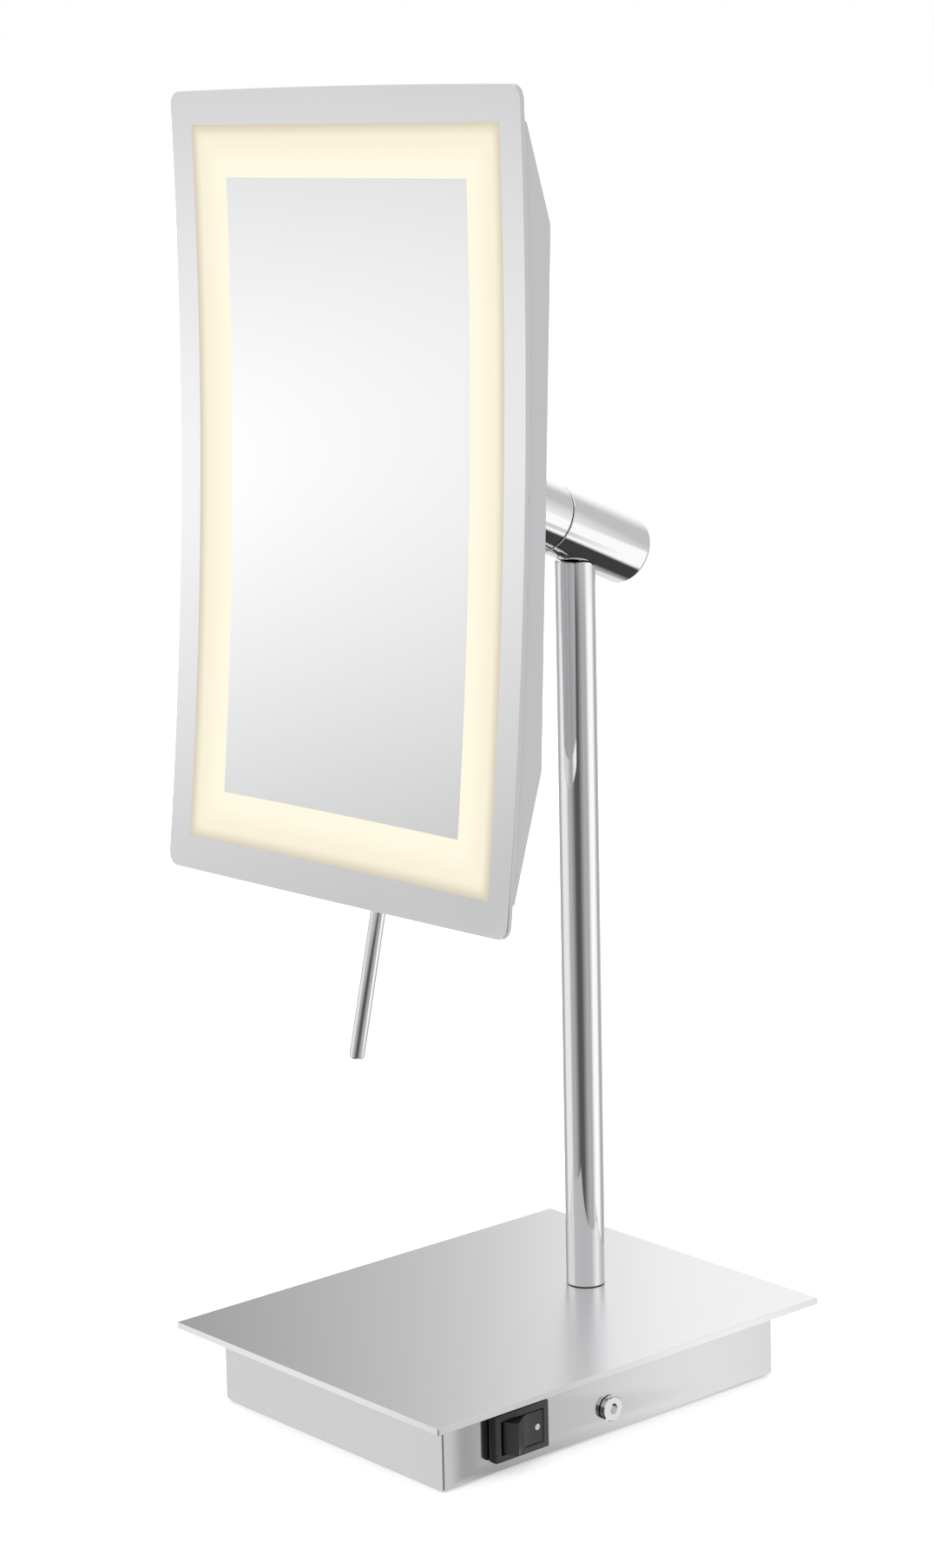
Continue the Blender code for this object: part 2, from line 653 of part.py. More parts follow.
def switch_bezel():
    outer = BOX_WIDTH / 2
    half_length = BEZEL_LENGTH / 2
    half_height = BEZEL_HEIGHT / 2
    low = (outer + CLEAR, SWITCH_Y - half_length, SWITCH_Z - half_height)
    high = (outer + BEZEL_PROUD, SWITCH_Y + half_length, SWITCH_Z + half_height)
    bezel = bevel(box("switch_bezel", "black", low, high), BEZEL_EDGE, segments=2)
    half_length = SWITCH_BODY_LENGTH / 2
    half_height = SWITCH_BODY_HEIGHT / 2
    low = (outer - SWITCH_BODY_DEPTH, SWITCH_Y - half_length, SWITCH_Z - half_height)
    high = (outer + BEZEL_PROUD / 2, SWITCH_Y + half_length, SWITCH_Z + half_height)
    cut(bezel, box("switch_body", None, low, high), "UNION")
    half_length = WINDOW_LENGTH / 2
    half_height = WINDOW_HEIGHT / 2
    low = (outer + BEZEL_PROUD - SWITCH_WELL, SWITCH_Y - half_length, SWITCH_Z - half_height)
    cut(bezel, box("switch_window", None, low, (2 * outer, SWITCH_Y + half_length, SWITCH_Z + half_height)))
    pin_reach = BEZEL_HEIGHT / 2 - PIN_COVER
    drill(bezel, ROCKER_PIN_RADIUS + CLEAR, (0, 0, -pin_reach), (0, 0, pin_reach), ROCKER_FRAME)
    rear = outer - SWITCH_BODY_DEPTH
    wide = TERMINAL_WIDTH / 2 + CLEAR
    thin = TERMINAL_THICKNESS / 2 + CLEAR
    for side in (-1, 1):
        y = SWITCH_Y + side * TERMINAL_SPACING / 2
        high = (rear + TERMINAL_GRIP, y + thin, SWITCH_Z + wide)
        cut(bezel, box("terminal_slot_%d" % side, None, (rear - MM, y - thin, SWITCH_Z - wide), high))
    return sharpen_later(bezel)


def switch_rocker():
    """A rocker with a shallow valley across its face; at rest its rear half is pressed in."""
    half_length = WINDOW_LENGTH / 2 - CLEAR
    height = WINDOW_HEIGHT - 2 * CLEAR
    slope = ROCKER_SWING / 2
    tip = half_length * 0.85
    steps = 8
    face = []
    for index in range(steps + 1):
        along = tip * (1 - 2 * index / steps)
        rise = math.hypot(along, ROCKER_ROUNDING) - ROCKER_ROUNDING
        face.append((ROCKER_VALLEY + rise * math.tan(slope) * 1.15, along))
    skirt = [(0.5, 0.9), (-0.1, 0.9), (-1.1, 0.4)]
    rear = [(ROCKER_VALLEY * deep, half_length * wide) for deep, wide in reversed(skirt)]
    front = [(ROCKER_VALLEY * deep, -half_length * wide) for deep, wide in skirt]
    turn = Matrix.Rotation(slope, 4, "Z")
    rocker = plate("switch_rocker", "black", rear + face + front, height, ROCKER_FRAME, turn)
    drill(rocker, ROCKER_PIN_RADIUS + CLEAR, (0, 0, -height), (0, 0, height), ROCKER_FRAME)
    return sharpen_later(rocker)


def switch_pin():
    half = BEZEL_HEIGHT / 2 - PIN_COVER - CLEAR
    rod("switch_pin", "steel", ROCKER_PIN_RADIUS, (0, 0, -half), (0, 0, half), ROCKER_FRAME)


def switch_terminals():
    inner = BOX_WIDTH / 2 - SWITCH_BODY_DEPTH
    for index, side in enumerate((-1, 1)):
        y = SWITCH_Y + side * TERMINAL_SPACING / 2
        thin = TERMINAL_THICKNESS / 2
        wide = TERMINAL_WIDTH / 2
        low = (inner - TERMINAL_LENGTH, y - thin, SWITCH_Z - wide)
        high = (inner + TERMINAL_GRIP - CLEAR, y + thin, SWITCH_Z + wide)
        box("switch_terminal_%d" % (index + 1), "brass", low, high)


# ---------------------------------------------------------------- electronics in the base

def driver():
    bottom = COVER_TOP + BOARD_LIFT
    top = bottom + BOARD_THICKNESS
    low = (BOARD_X - BOARD_LENGTH / 2, BOARD_Y - BOARD_WIDTH / 2, bottom)
    box("driver_board", "board", low, (BOARD_X + BOARD_LENGTH / 2, BOARD_Y + BOARD_WIDTH / 2, top))
    seat = top + CLEAR
    spot = Matrix.Translation((BOARD_X - BOARD_LENGTH / 4, BOARD_Y + BOARD_WIDTH / 5, seat))
    waist = INDUCTOR_RADIUS - MM
    coil = [(INDUCTOR_BORE, INDUCTOR_HEIGHT), (INDUCTOR_RADIUS, INDUCTOR_HEIGHT)]
    coil += [(INDUCTOR_RADIUS, INDUCTOR_HEIGHT - MM), (waist, INDUCTOR_HEIGHT - 1.5 * MM), (waist, 1.5 * MM)]
    coil += [(INDUCTOR_RADIUS, MM), (INDUCTOR_RADIUS, 0), (INDUCTOR_BORE, 0)]
    sharpen_later(turned("driver_inductor", "steel", coil, matrix=spot, steps=20, closed=True))
    spot = Matrix.Translation((BOARD_X + BOARD_LENGTH / 4, BOARD_Y + BOARD_WIDTH / 5, seat))
    can = [(0, CAPACITOR_HEIGHT), (CAPACITOR_RADIUS - 0.5 * MM, CAPACITOR_HEIGHT)]
    can += [(CAPACITOR_RADIUS, CAPACITOR_HEIGHT - 0.5 * MM), (CAPACITOR_RADIUS, 2 * MM)]
    can += [(CAPACITOR_RADIUS - 0.4 * MM, 1.5 * MM), (CAPACITOR_RADIUS, MM), (CAPACITOR_RADIUS, 0), (0, 0)]
    sharpen_later(turned("driver_capacitor", "satin", can, matrix=spot))
    half = CONNECTOR_LENGTH / 2
    front = BOARD_Y - BOARD_WIDTH / 2 + 2 * MM
    rear = front + CONNECTOR_HEIGHT
    high = (BOARD_X + half, rear, seat + CONNECTOR_HEIGHT)
    connector = box("lead_connector", "white", (BOARD_X - half, front, seat), high)
    for side in (-1, 1):
        middle = BOARD_X + side * half / 2
        low = (middle - 1.4 * MM, front - MM, seat + 2 * MM)
        high = (middle + 1.4 * MM, rear - 2 * MM, seat + 5 * MM)
        cut(connector, box("connector_mouth_%d" % side, None, low, high))


def inlet():
    wall = BOX_DEPTH / 2
    frame = aim((INLET_X, wall, INLET_Z), REAR)
    face = CLEAR + INLET_FLANGE_THICKNESS
    edge = 0.4 * MM
    floor = -INLET_DEPTH + 2 * MM
    bore = INLET_PIN_RADIUS + CLEAR
    profile = [(INLET_BORE, face), (INLET_FLANGE - edge, face), (INLET_FLANGE, face - edge)]
    profile += [(INLET_FLANGE, CLEAR), (INLET_RADIUS, CLEAR), (INLET_RADIUS, -INLET_DEPTH)]
    profile += [(bore, -INLET_DEPTH), (bore, floor), (INLET_BORE, floor)]
    sharpen_later(turned("inlet_socket", "black", profile, matrix=frame, steps=20, closed=True))
    pin_start = (0, 0, -INLET_DEPTH - 2 * MM)
    rod("inlet_pin", "brass", INLET_PIN_RADIUS, pin_start, (0, 0, -0.5 * MM), matrix=frame)
    nut_top = -BOX_WALL - CLEAR
    nut_low = nut_top - INLET_NUT_HEIGHT
    nut = rod("inlet_nut", "steel", INLET_FLANGE, (0, 0, nut_low), (0, 0, nut_top), matrix=frame, sides=6)
    cut(nut, rod("inlet_nut_hole", None, INLET_RADIUS + CLEAR, (0, 0, -INLET_DEPTH), (0, 0, 0), matrix=frame))


def lead_base():
    """The supply lead from the inlet, over the ballast, to the board."""
    above = BALLAST_TOP + 2 * MM
    rear = BOX_DEPTH / 2 - INLET_DEPTH - 3.5 * MM
    over_board = COVER_TOP + BOARD_LIFT + BOARD_THICKNESS + CLEAR + LEAD_RADIUS
    route = [(INLET_X, rear, INLET_Z), (INLET_X, rear - 2 * MM, INLET_Z + 2.5 * MM)]
    route += [(INLET_X, BALLAST_REAR, above), (INLET_X + MM, (BALLAST_FRONT + BALLAST_REAR) / 2, above)]
    route += [(INLET_X + 2 * MM, BALLAST_FRONT, above)]
    route += [(INLET_X + 2 * MM, BALLAST_FRONT - 5 * MM, above - 2 * MM)]
    route += [(INLET_X + 2 * MM, BOARD_Y + BOARD_WIDTH / 2 - 1.5 * MM, over_board)]
    lead("lead_base", "wire", smooth_route(route))


# ---------------------------------------------------------------- column

def barrel_shape(name, radius):
    """The barrel's outside as a cutter for what seats on it."""
    return rod(name, None, radius, (0, 0, -2 * BARREL_LENGTH), (0, 0, BARREL_LENGTH), BARREL_FRAME, sides=64)


def pole():
    profile = [(POLE_BORE, POLE_TOP), (POLE_RADIUS - 0.3 * MM, POLE_TOP), (POLE_RADIUS, POLE_TOP - 0.3 * MM)]
    profile += [(POLE_RADIUS, POLE_BOTTOM), (POLE_BORE, POLE_BOTTOM)]
    tube = turned("pole", "chrome", profile, matrix=Matrix.Translation((0, POLE_Y, 0)), steps=48, closed=True)
    cut(tube, barrel_shape("pole_notch", BARREL_RADIUS + CLEAR))
    return sharpen_later(tube)


def foot_plug():
    low = PLATE_BOTTOM - WASHER_THICKNESS - NUT_HEIGHT - 3 * CLEAR - MM
    high = POLE_BOTTOM + FOOT_PLUG_GRIP
    profile = [(PLUG_BORE, high), (PLUG_RADIUS, high), (PLUG_RADIUS, low), (PLUG_BORE, low)]
    frame = Matrix.Translation((0, POLE_Y, 0))
    sharpen_later(turned("pole_foot_plug", "steel", profile, matrix=frame, steps=20, closed=True))
    washer_top = PLATE_BOTTOM - CLEAR
    washer_low = washer_top - WASHER_THICKNESS
    hole = PLUG_RADIUS + CLEAR
    ring = [(hole, washer_top), (WASHER_RADIUS, washer_top), (WASHER_RADIUS, washer_low), (hole, washer_low)]
    sharpen_later(turned("pole_washer", "steel", ring, matrix=frame, steps=20, closed=True))
    nut_top = washer_low - CLEAR
    start = (0, POLE_Y, nut_top - NUT_HEIGHT)
    nut = rod("pole_nut", "steel", NUT_RADIUS, start, (0, POLE_Y, nut_top), sides=6)
    drill(nut, hole, (0, POLE_Y, 0), (0, POLE_Y, PLATE_TOP))


def top_plug():
    low = POLE_TOP - TOP_PLUG_LENGTH
    bore = STUD_RADIUS + CLEAR
    high = POLE_TOP - CLEAR
    profile = [(bore, high), (PLUG_RADIUS, high), (PLUG_RADIUS, low), (bore, low)]
    frame = Matrix.Translation((0, POLE_Y, 0))
    plug = turned("pole_top_plug", "steel", profile, matrix=frame, steps=20, closed=True)
    cut(plug, barrel_shape("plug_notch", BARREL_RADIUS + CLEAR))
    sharpen_later(plug)
    stud_low = low + 2 * MM
    profile = [(STUD_BORE, STUD_TOP), (STUD_RADIUS, STUD_TOP), (STUD_RADIUS, stud_low), (STUD_BORE, stud_low)]
    sharpen_later(turned("barrel_stud", "steel", profile, matrix=frame, steps=20, closed=True))


# ---------------------------------------------------------------- barrel and ball joint

def barrel_body():
    rear = -BARREL_LENGTH
    profile = [(BARREL_BORE, 0), (BARREL_RADIUS - 0.2 * MM, 0), (BARREL_RADIUS, -0.2 * MM)]
    for index in range(6):
        angle = math.pi / 2 * index / 5
        reach = BARREL_RADIUS - BARREL_EDGE + BARREL_EDGE * math.cos(angle)
        profile.append((reach, rear + BARREL_EDGE - BARREL_EDGE * math.sin(angle)))
    profile += [(0, rear), (0, rear + BARREL_WALL), (BARREL_BORE, rear + BARREL_WALL)]
    body = turned("barrel_body", "chrome", profile, BARREL_FRAME, steps=48, closed=True)
    foot = (0, POLE_Y, POLE_TOP - POLE_RADIUS)
    cut(body, rod("stud_hole", None, STUD_RADIUS + CLEAR, foot, (0, POLE_Y, BARREL_AXIS_AT_POLE)))
    return sharpen_later(body)


def joining_ring():
    bore = BARREL_BORE - 2 * MM
    in_barrel = BARREL_BORE - CLEAR
    in_collar = COLLAR_BORE - CLEAR
    profile = [(bore, RING_REACH), (in_collar, RING_REACH), (in_collar, CLEAR), (in_barrel, CLEAR)]
    profile += [(in_barrel, -RING_REACH), (bore, -RING_REACH)]
    sharpen_later(turned("joining_ring", "steel", profile, BARREL_FRAME, steps=24, closed=True))


def front_collar():
    edge = 0.6 * MM
    front = BALL_DISTANCE + COLLAR_BORE * math.cos(LIP_ANGLE)
    back = SEAM_GAP
    profile = [(BARREL_RADIUS - edge, front), (BARREL_RADIUS, front - edge), (BARREL_RADIUS, back + 0.2 * MM)]
    profile += [(BARREL_RADIUS - 0.2 * MM, back), (COLLAR_BORE, back)]
    profile += arc(BALL_DISTANCE, COLLAR_BORE, math.pi / 2, LIP_ANGLE, 4)
    sharpen_later(turned("front_collar", "chrome", profile, BARREL_FRAME, steps=48, closed=True))


def friction_parts():
    ring_front = RING_REACH
    outer = COLLAR_BORE - CLEAR
    bore = 3.4 * MM
    for index in range(2):
        low = ring_front + CLEAR + index * (SPRING_THICKNESS + 2 * CLEAR)
        cone = SPRING_CONE if index == 0 else 0.0
        tip = low + cone
        profile = [(bore, tip + SPRING_THICKNESS), (outer, low + SPRING_THICKNESS), (outer, low), (bore, tip)]
        frame = Matrix.Translation((0, 0, index * SPRING_CONE))
        sharpen_later(turned("disc_spring_%d" % (index + 1), "steel", profile, BARREL_FRAME, frame, 24, True))
    seat = LINER_OUTER + CLEAR
    first = math.pi - math.asin(bore / seat)
    last = math.pi - math.asin((outer - 1.2 * MM) / seat)
    dish = arc(BALL_DISTANCE, seat, first, last, 5)
    front = dish[-1][1]
    profile = dish + [(outer, front), (outer, front - CUP_LENGTH), (bore, front - CUP_LENGTH)]
    sharpen_later(turned("pressure_cup", "nylon", profile, BARREL_FRAME, steps=24, closed=True))


def ball_liner():
    """A nylon shell around the ball; the neck moves up and down in its slot and swings it left and right."""
    front = math.radians(20)
    rear = math.radians(150)
    to_barrel = LINER_FRAME.matrix_basis.inverted() @ BARREL_FRAME.matrix_basis
    frame = to_barrel @ Matrix.Translation((0, 0, BALL_DISTANCE))
    profile = arc(0, LINER_OUTER, front, rear, 7) + arc(0, LINER_INNER, rear, front, 7)
    liner = turned("ball_liner", "nylon", profile, LINER_FRAME, frame, 24, True)
    half = NECK_RADIUS + CLEAR + 0.2 * MM
    reach = 2 * LINER_OUTER
    room = math.asin(half / LINER_INNER) + math.radians(2)
    down = BARREL_RISE + HEAD_PITCH + TILT_DOWN + room
    up = BARREL_RISE + HEAD_PITCH - TILT_UP - room
    steps = 6
    fan = [(0.0, 0.0)]
    for index in range(steps + 1):
        angle = down + (up - down) * index / steps
        fan.append((-reach * math.sin(angle), reach * math.cos(angle)))
    stand = Matrix.Rotation(math.pi / 2, 4, "Y") @ Matrix.Rotation(math.pi / 2, 4, "Z")
    slot = plate("liner_slot", None, fan, 2 * half, LINER_FRAME, frame @ stand)
    cut(liner, slot)
    return sharpen_later(liner)


def ball_stud():
    """The ball with its hollow neck, along the head's -Y axis."""
    frame = aim((0, 0, 0), -REAR)
    end = HUB_START + NECK_SOCKET
    start = math.asin(NECK_RADIUS / BALL_RADIUS)
    flare = math.radians(155)
    profile = [(NECK_BORE, end), (NECK_RADIUS, end)]
    profile += arc(0, BALL_RADIUS, start, flare, 8)
    profile += [(NECK_BORE, -BALL_RADIUS * 0.45)]
    sharpen_later(turned("ball_stud", "steel", profile, HEAD_FRAME, frame, 24, True))


def joint_hub():
    frame = aim((0, 0, 0), -REAR)
    back = -HOUSING_BACK - CLEAR
    step = back - FLANGE_THICKNESS
    socket = NECK_RADIUS + CLEAR
    edge = 0.5 * MM
    profile = [(LEAD_BORE, back), (FLANGE_RADIUS, back), (FLANGE_RADIUS, step + edge)]
    profile += [(FLANGE_RADIUS - edge, step), (HUB_RADIUS + MM, step), (HUB_RADIUS, step - MM)]
    profile += [(HUB_RADIUS, HUB_SHOULDER)]
    for index in range(1, 5):
        angle = math.pi / 2 * index / 4
        drop = (HUB_SHOULDER - HUB_START) * math.sin(angle)
        profile.append((HUB_NOSE + (HUB_RADIUS - HUB_NOSE) * math.cos(angle), HUB_SHOULDER - drop))
    bottom = HUB_START + NECK_SOCKET + CLEAR
    profile += [(socket, HUB_START), (socket, bottom), (LEAD_BORE, bottom)]
    hub = turned("joint_hub", "chrome", profile, HEAD_FRAME, frame, 40, True)
    start = LEVER_START - LEVER_AXIS * CLEAR
    drill(hub, LEVER_RADIUS + CLEAR, start, LEVER_START + LEVER_AXIS * 2 * HUB_RADIUS, HEAD_FRAME)
    for spot in FLANGE_SCREW_PLACES:
        start = spot - REAR * FLANGE_RADIUS
        drill(hub, SMALL_SCREW_RADIUS + CLEAR, start, spot + REAR * FLANGE_THICKNESS, HEAD_FRAME)
    return sharpen_later(hub)


def hub_screws():
    for index, spot in enumerate(FLANGE_SCREW_PLACES):
        frame = aim(spot + REAR * CLEAR, REAR)
        name = "hub_screw_%d" % (index + 1)
        hex_screw(name, "chrome", SMALL_SCREW_RADIUS, FLANGE_SCREW_LENGTH, SMALL_HEAD_RADIUS,
                  FLANGE_HEAD_HEIGHT, SMALL_HEX_RADIUS, HEAD_FRAME, frame)


def lever():
    frame = aim(LEVER_FOOT, LEVER_AXIS)
    profile = [(0, LEVER_LENGTH)]
    for index in range(5):
        angle = math.pi / 2 * index / 4
        radius = LEVER_RADIUS - LEVER_EDGE * (1 - math.sin(angle))
        profile.append((radius, LEVER_LENGTH - LEVER_EDGE * (1 - math.cos(angle))))
    profile += [(LEVER_RADIUS, LEVER_SEAT), (0, LEVER_SEAT)]
    sharpen_later(turned("lever_rod", "chrome", profile, HEAD_FRAME, frame, 28))
    face = HUB_RADIUS / math.cos(LEVER_LEAN) + LEVER_NUT_RADIUS * math.tan(LEVER_LEAN) + CLEAR
    hole = LEVER_RADIUS + CLEAR
    top = face + LEVER_NUT_HEIGHT
    edge = 0.5 * MM
    profile = [(hole, top), (LEVER_NUT_RADIUS - edge, top), (LEVER_NUT_RADIUS, top - edge)]
    profile += [(LEVER_NUT_RADIUS, face + edge), (LEVER_NUT_RADIUS - edge, face), (hole, face)]
    sharpen_later(turned("lever_nut", "chrome", profile, HEAD_FRAME, frame, 24, True))


# ---------------------------------------------------------------- head

def glass_front(x, z):
    """The concave front face: its middle lies GLASS_REACH before the ball."""
    return -GLASS_REACH - (x ** 2 + z ** 2) / (2 * GLASS_CURVE)


def glass_back(x, z):
    return glass_front(x, z) + GLASS_THICKNESS


def rim_front(x, z):
    """The housing's front edge: close to the glass at both ends and a little behind it between them."""
    return glass_back(x, z) + CLEAR + RIM_GAP * max(0.0, 1 - (z / HOUSING_RIM) ** 2)


def housing_back(x, z, wall=0.0):
    """The housing's back: flat, with a slope to the front edge at the top and at the bottom."""
    if z > FLAT_TOP:
        edge = rim_front(x, HOUSING_RIM)
        share = (z - FLAT_TOP) / (HOUSING_RIM - FLAT_TOP)
        run = HOUSING_RIM - FLAT_TOP
    elif z < FLAT_BOTTOM:
        edge = rim_front(x, -HOUSING_RIM)
        share = (FLAT_BOTTOM - z) / (FLAT_BOTTOM + HOUSING_RIM)
        run = FLAT_BOTTOM + HOUSING_RIM
    else:
        return HOUSING_BACK - wall
    drop = HOUSING_BACK - edge - HOUSING_LAND
    return HOUSING_BACK - drop * share - wall * math.hypot(drop, run) / run


def between(name, finish, half_width, levels, front, back, columns=7, parent=HEAD_FRAME):
    """A slab whose front and back faces follow two functions of x and z."""
    bm = bmesh.new()
    bmesh.ops.create_grid(bm, x_segments=columns, y_segments=len(levels) - 1, size=0.5)
    rows = sorted({round(vert.co.y, 5) for vert in bm.verts})
    for vert in bm.verts:
        row = min(range(len(rows)), key=lambda index: abs(rows[index] - vert.co.y))
        z = levels[row]
        x = vert.co.x * 2 * half_width
        vert.co = (x, front(x, z), z)
    made = bmesh.ops.extrude_face_region(bm, geom=bm.faces[:])
    for item in made["geom"]:
        if isinstance(item, bmesh.types.BMVert):
            item.co.y = back(item.co.x, item.co.z)
    return place(from_bmesh(name, bm, math.radians(15)), finish, parent)


def spaced(low, high, count):
    return [low + (high - low) * index / count for index in range(count + 1)]


def in_head_plane():
    """Turns a flat outline of the XY plane into the head's XZ plane."""
    return Matrix.Rotation(math.pi / 2, 4, "X")


def mirror_glass():
    margin = 3 * MM
    levels = spaced(-HALF_HEIGHT - margin, HALF_HEIGHT + margin, 14)
    glass = between("mirror_glass", "mirror", HALF_WIDTH + margin, levels, glass_front, glass_back, 9)
    outline = rounded_outline(GLASS_WIDTH, GLASS_HEIGHT, GLASS_CORNER, GLASS_CROWN)
    middle = Matrix.Translation((0, -GLASS_REACH, 0)) @ in_head_plane()
    cut(glass, plate("glass_outline", None, outline, 60 * MM, HEAD_FRAME, middle), "INTERSECT")
    return sharpen_later(glass)


def rear_housing():
    levels = spaced(-HOUSING_RIM, FLAT_BOTTOM, 2) + spaced(FLAT_BOTTOM, FLAT_TOP, 6)[1:]
    levels += spaced(FLAT_TOP, HOUSING_RIM, 2)[1:]
    shell = between("rear_housing", "silver", HOUSING_HALF_WIDTH, levels, rim_front, housing_back)
    ahead = 3 * MM

    def hollow_front(x, z):
        return rim_front(x, z) - ahead

    def hollow_back(x, z):
        return housing_back(x, z, HOUSING_WALL)

    half_width = HOUSING_HALF_WIDTH - HOUSING_WALL
    cut(shell, between("housing_hollow", None, half_width, levels, hollow_front, hollow_back))
    drill(shell, LEAD_BORE + MM, (0, HOUSING_BACK - 3 * MM, 0), (0, HOUSING_BACK + 3 * MM, 0), HEAD_FRAME)
    for spot in FLANGE_SCREW_PLACES:
        drill(shell, SMALL_SCREW_RADIUS + CLEAR, spot - REAR * 3 * FLANGE_THICKNESS, spot, HEAD_FRAME)
    return sharpen_later(shell)


def backing_plate():
    half = BACKING_SIZE / 2
    low = (-half, TRAY_BACK - BACKING_THICKNESS, -half)
    steel = box("backing_plate", "steel", low, (half, TRAY_BACK, half), HEAD_FRAME)
    drill(steel, LEAD_BORE + MM, (0, -GLASS_REACH, 0), (0, 0, 0), HEAD_FRAME)
    for spot in FLANGE_SCREW_PLACES:
        drill(steel, SMALL_SCREW_RADIUS + CLEAR, spot - REAR * 4 * FLANGE_THICKNESS, spot, HEAD_FRAME)
    return sharpen_later(steel)


def reflector_tray():
    half_width = HOUSING_HALF_WIDTH - HOUSING_WALL - TRAY_MARGIN
    low = (-half_width, TRAY_FRONT, FLAT_BOTTOM + TRAY_MARGIN)
    high = (half_width, TRAY_BACK, FLAT_TOP - TRAY_MARGIN)
    tray = box("reflector_tray", "white", low, high, HEAD_FRAME)
    half = TRAY_WINDOW / 2
    return cut(tray, box("tray_window", None, (-half, -GLASS_REACH, -half), (half, 0, half), HEAD_FRAME))


def led_strips():
    """Four strips on the tray: a castellated outline, one tooth for each lamp."""
    middle_z = (FLAT_TOP + FLAT_BOTTOM) / 2
    upright = (FLAT_TOP - FLAT_BOTTOM) / 2 - TRAY_MARGIN - STRIP_WIDTH
    places = (("left", (-STRIP_OFFSET, middle_z), UP), ("right", (STRIP_OFFSET, middle_z), UP),
              ("top", (0, middle_z + upright), RIGHT), ("bottom", (0, middle_z - upright), RIGHT))
    count = int((STRIP_LENGTH - LED_PITCH / 2) / LED_PITCH)
    first = -LED_PITCH * (count - 1) / 2
    outline = [(-STRIP_LENGTH / 2, 0.0), (-STRIP_LENGTH / 2, STRIP_THICKNESS)]
    for index in range(count):
        middle = first + index * LED_PITCH
        tall = STRIP_THICKNESS + LED_HEIGHT
        outline += [(middle - LED_SIZE / 2, STRIP_THICKNESS), (middle - LED_SIZE / 2, tall)]
        outline += [(middle + LED_SIZE / 2, tall), (middle + LED_SIZE / 2, STRIP_THICKNESS)]
    outline += [(STRIP_LENGTH / 2, STRIP_THICKNESS), (STRIP_LENGTH / 2, 0.0)]
    for name, (x, z), along in places:
        across = -REAR
        side = along.cross(across)
        frame = Matrix((along, across, side)).transposed().to_4x4()
        frame.translation = Vector((x, TRAY_FRONT - CLEAR, z))
        plate("led_strip_" + name, "opal", outline, STRIP_WIDTH, HEAD_FRAME, frame)


def diffuser_frame():
    def front(x, z):
        return glass_back(x, z) + CLEAR

    def back(x, z):
        return glass_back(x, z) + CLEAR + DIFFUSER_THICKNESS

    reach = BAND_HALF_HEIGHT - DIFFUSER_TRIM
    sheet = between("diffuser_frame", "opal", BAND_HALF_WIDTH, spaced(-reach, reach, 10), front, back, 7)
    half_width = BAND_HALF_WIDTH - BAND_FRAME
    half_height = BAND_HALF_HEIGHT - BAND_FRAME
    low = (-half_width, -2 * GLASS_REACH, -half_height)
    return cut(sheet, box("diffuser_window", None, low, (half_width, 0, half_height), HEAD_FRAME))


def bond_pad():
    """The foam pad that bonds the glass to the backing plate."""
    half = BACKING_SIZE / 2 - MM

    def front(x, z):
        return glass_back(x, z) + CLEAR

    def back(x, z):
        return TRAY_BACK - BACKING_THICKNESS - CLEAR

    pad = between("bond_pad", "rubber", half, spaced(-half, half, 3), front, back, 3)
    channel = LEAD_RADIUS + CLEAR + 0.6 * MM
    low = (-channel, -2 * GLASS_REACH, -channel)
    cut(pad, box("lead_channel", None, low, (2 * half, 0, channel), HEAD_FRAME))
    for spot in FLANGE_SCREW_PLACES:
        drill(pad, SMALL_SCREW_RADIUS + CLEAR, spot - REAR * 4 * FLANGE_THICKNESS, spot, HEAD_FRAME)
    return sharpen_later(pad)


# ---------------------------------------------------------------- leads of the column and the head

def leads():
    barrel = BARREL_FRAME.matrix_basis
    start_z = BALLAST_BOTTOM + 4 * MM
    board_top = COVER_TOP + BOARD_LIFT + BOARD_THICKNESS + CLEAR + LEAD_RADIUS
    in_collar = barrel @ Vector((0, 0, RING_REACH + 2 * MM))
    last = barrel @ Vector((0, 0, BALL_DISTANCE - LINER_OUTER - 2.5 * MM))
    above = BALLAST_TOP + 1.5 * MM
    edge = BARREL_AXIS_AT_POLE - BARREL_BORE + 4 * MM
    well = POLE_Y - WELL_RADIUS
    route = [(BOARD_X + 6 * MM, BOARD_Y + BOARD_WIDTH / 2 - 3 * MM, board_top + 2 * MM)]
    route += [(-4 * MM, BALLAST_FRONT, above), (-2 * MM, BALLAST_FRONT + 12 * MM, above)]
    route += [(0, well - 2 * MM, above), (0, well + 2 * MM, BALLAST_TOP - MM)]
    route += [(0, POLE_Y - 7 * MM, start_z + 4 * MM), (0, POLE_Y - 3 * MM, start_z + 2 * MM)]
    route += [(0, POLE_Y, start_z + 6 * MM)]
    inside = [(0, POLE_Y, z) for z in (POLE_BOTTOM, POLE_TOP / 2, POLE_TOP - TOP_PLUG_LENGTH, edge)]
    inside += [(0, POLE_Y - 3 * MM, edge + 5 * MM), tuple(in_collar), tuple(last)]
    lead("lead_column", "wire", smooth_route(route, 3) + smooth_route(inside, 3))
    layer = (glass_back(0, 0) + TRAY_BACK - BACKING_THICKNESS) / 2
    strip = STRIP_OFFSET - STRIP_WIDTH / 2 - CLEAR - MM
    route = [(0, -BALL_RADIUS, 0), (0, HOUSING_BACK + 6 * MM, 0), (0, HOUSING_BACK, 0), (MM, layer + MM, 0)]
    route += [(x, layer, 0) for x in (4 * MM, 9 * MM, BACKING_SIZE / 2 + 4 * MM, strip)]
    lead("lead_head", "wire", smooth_route(route, 3), HEAD_FRAME, HEAD_LEAD_RADIUS)


# ---------------------------------------------------------------- build

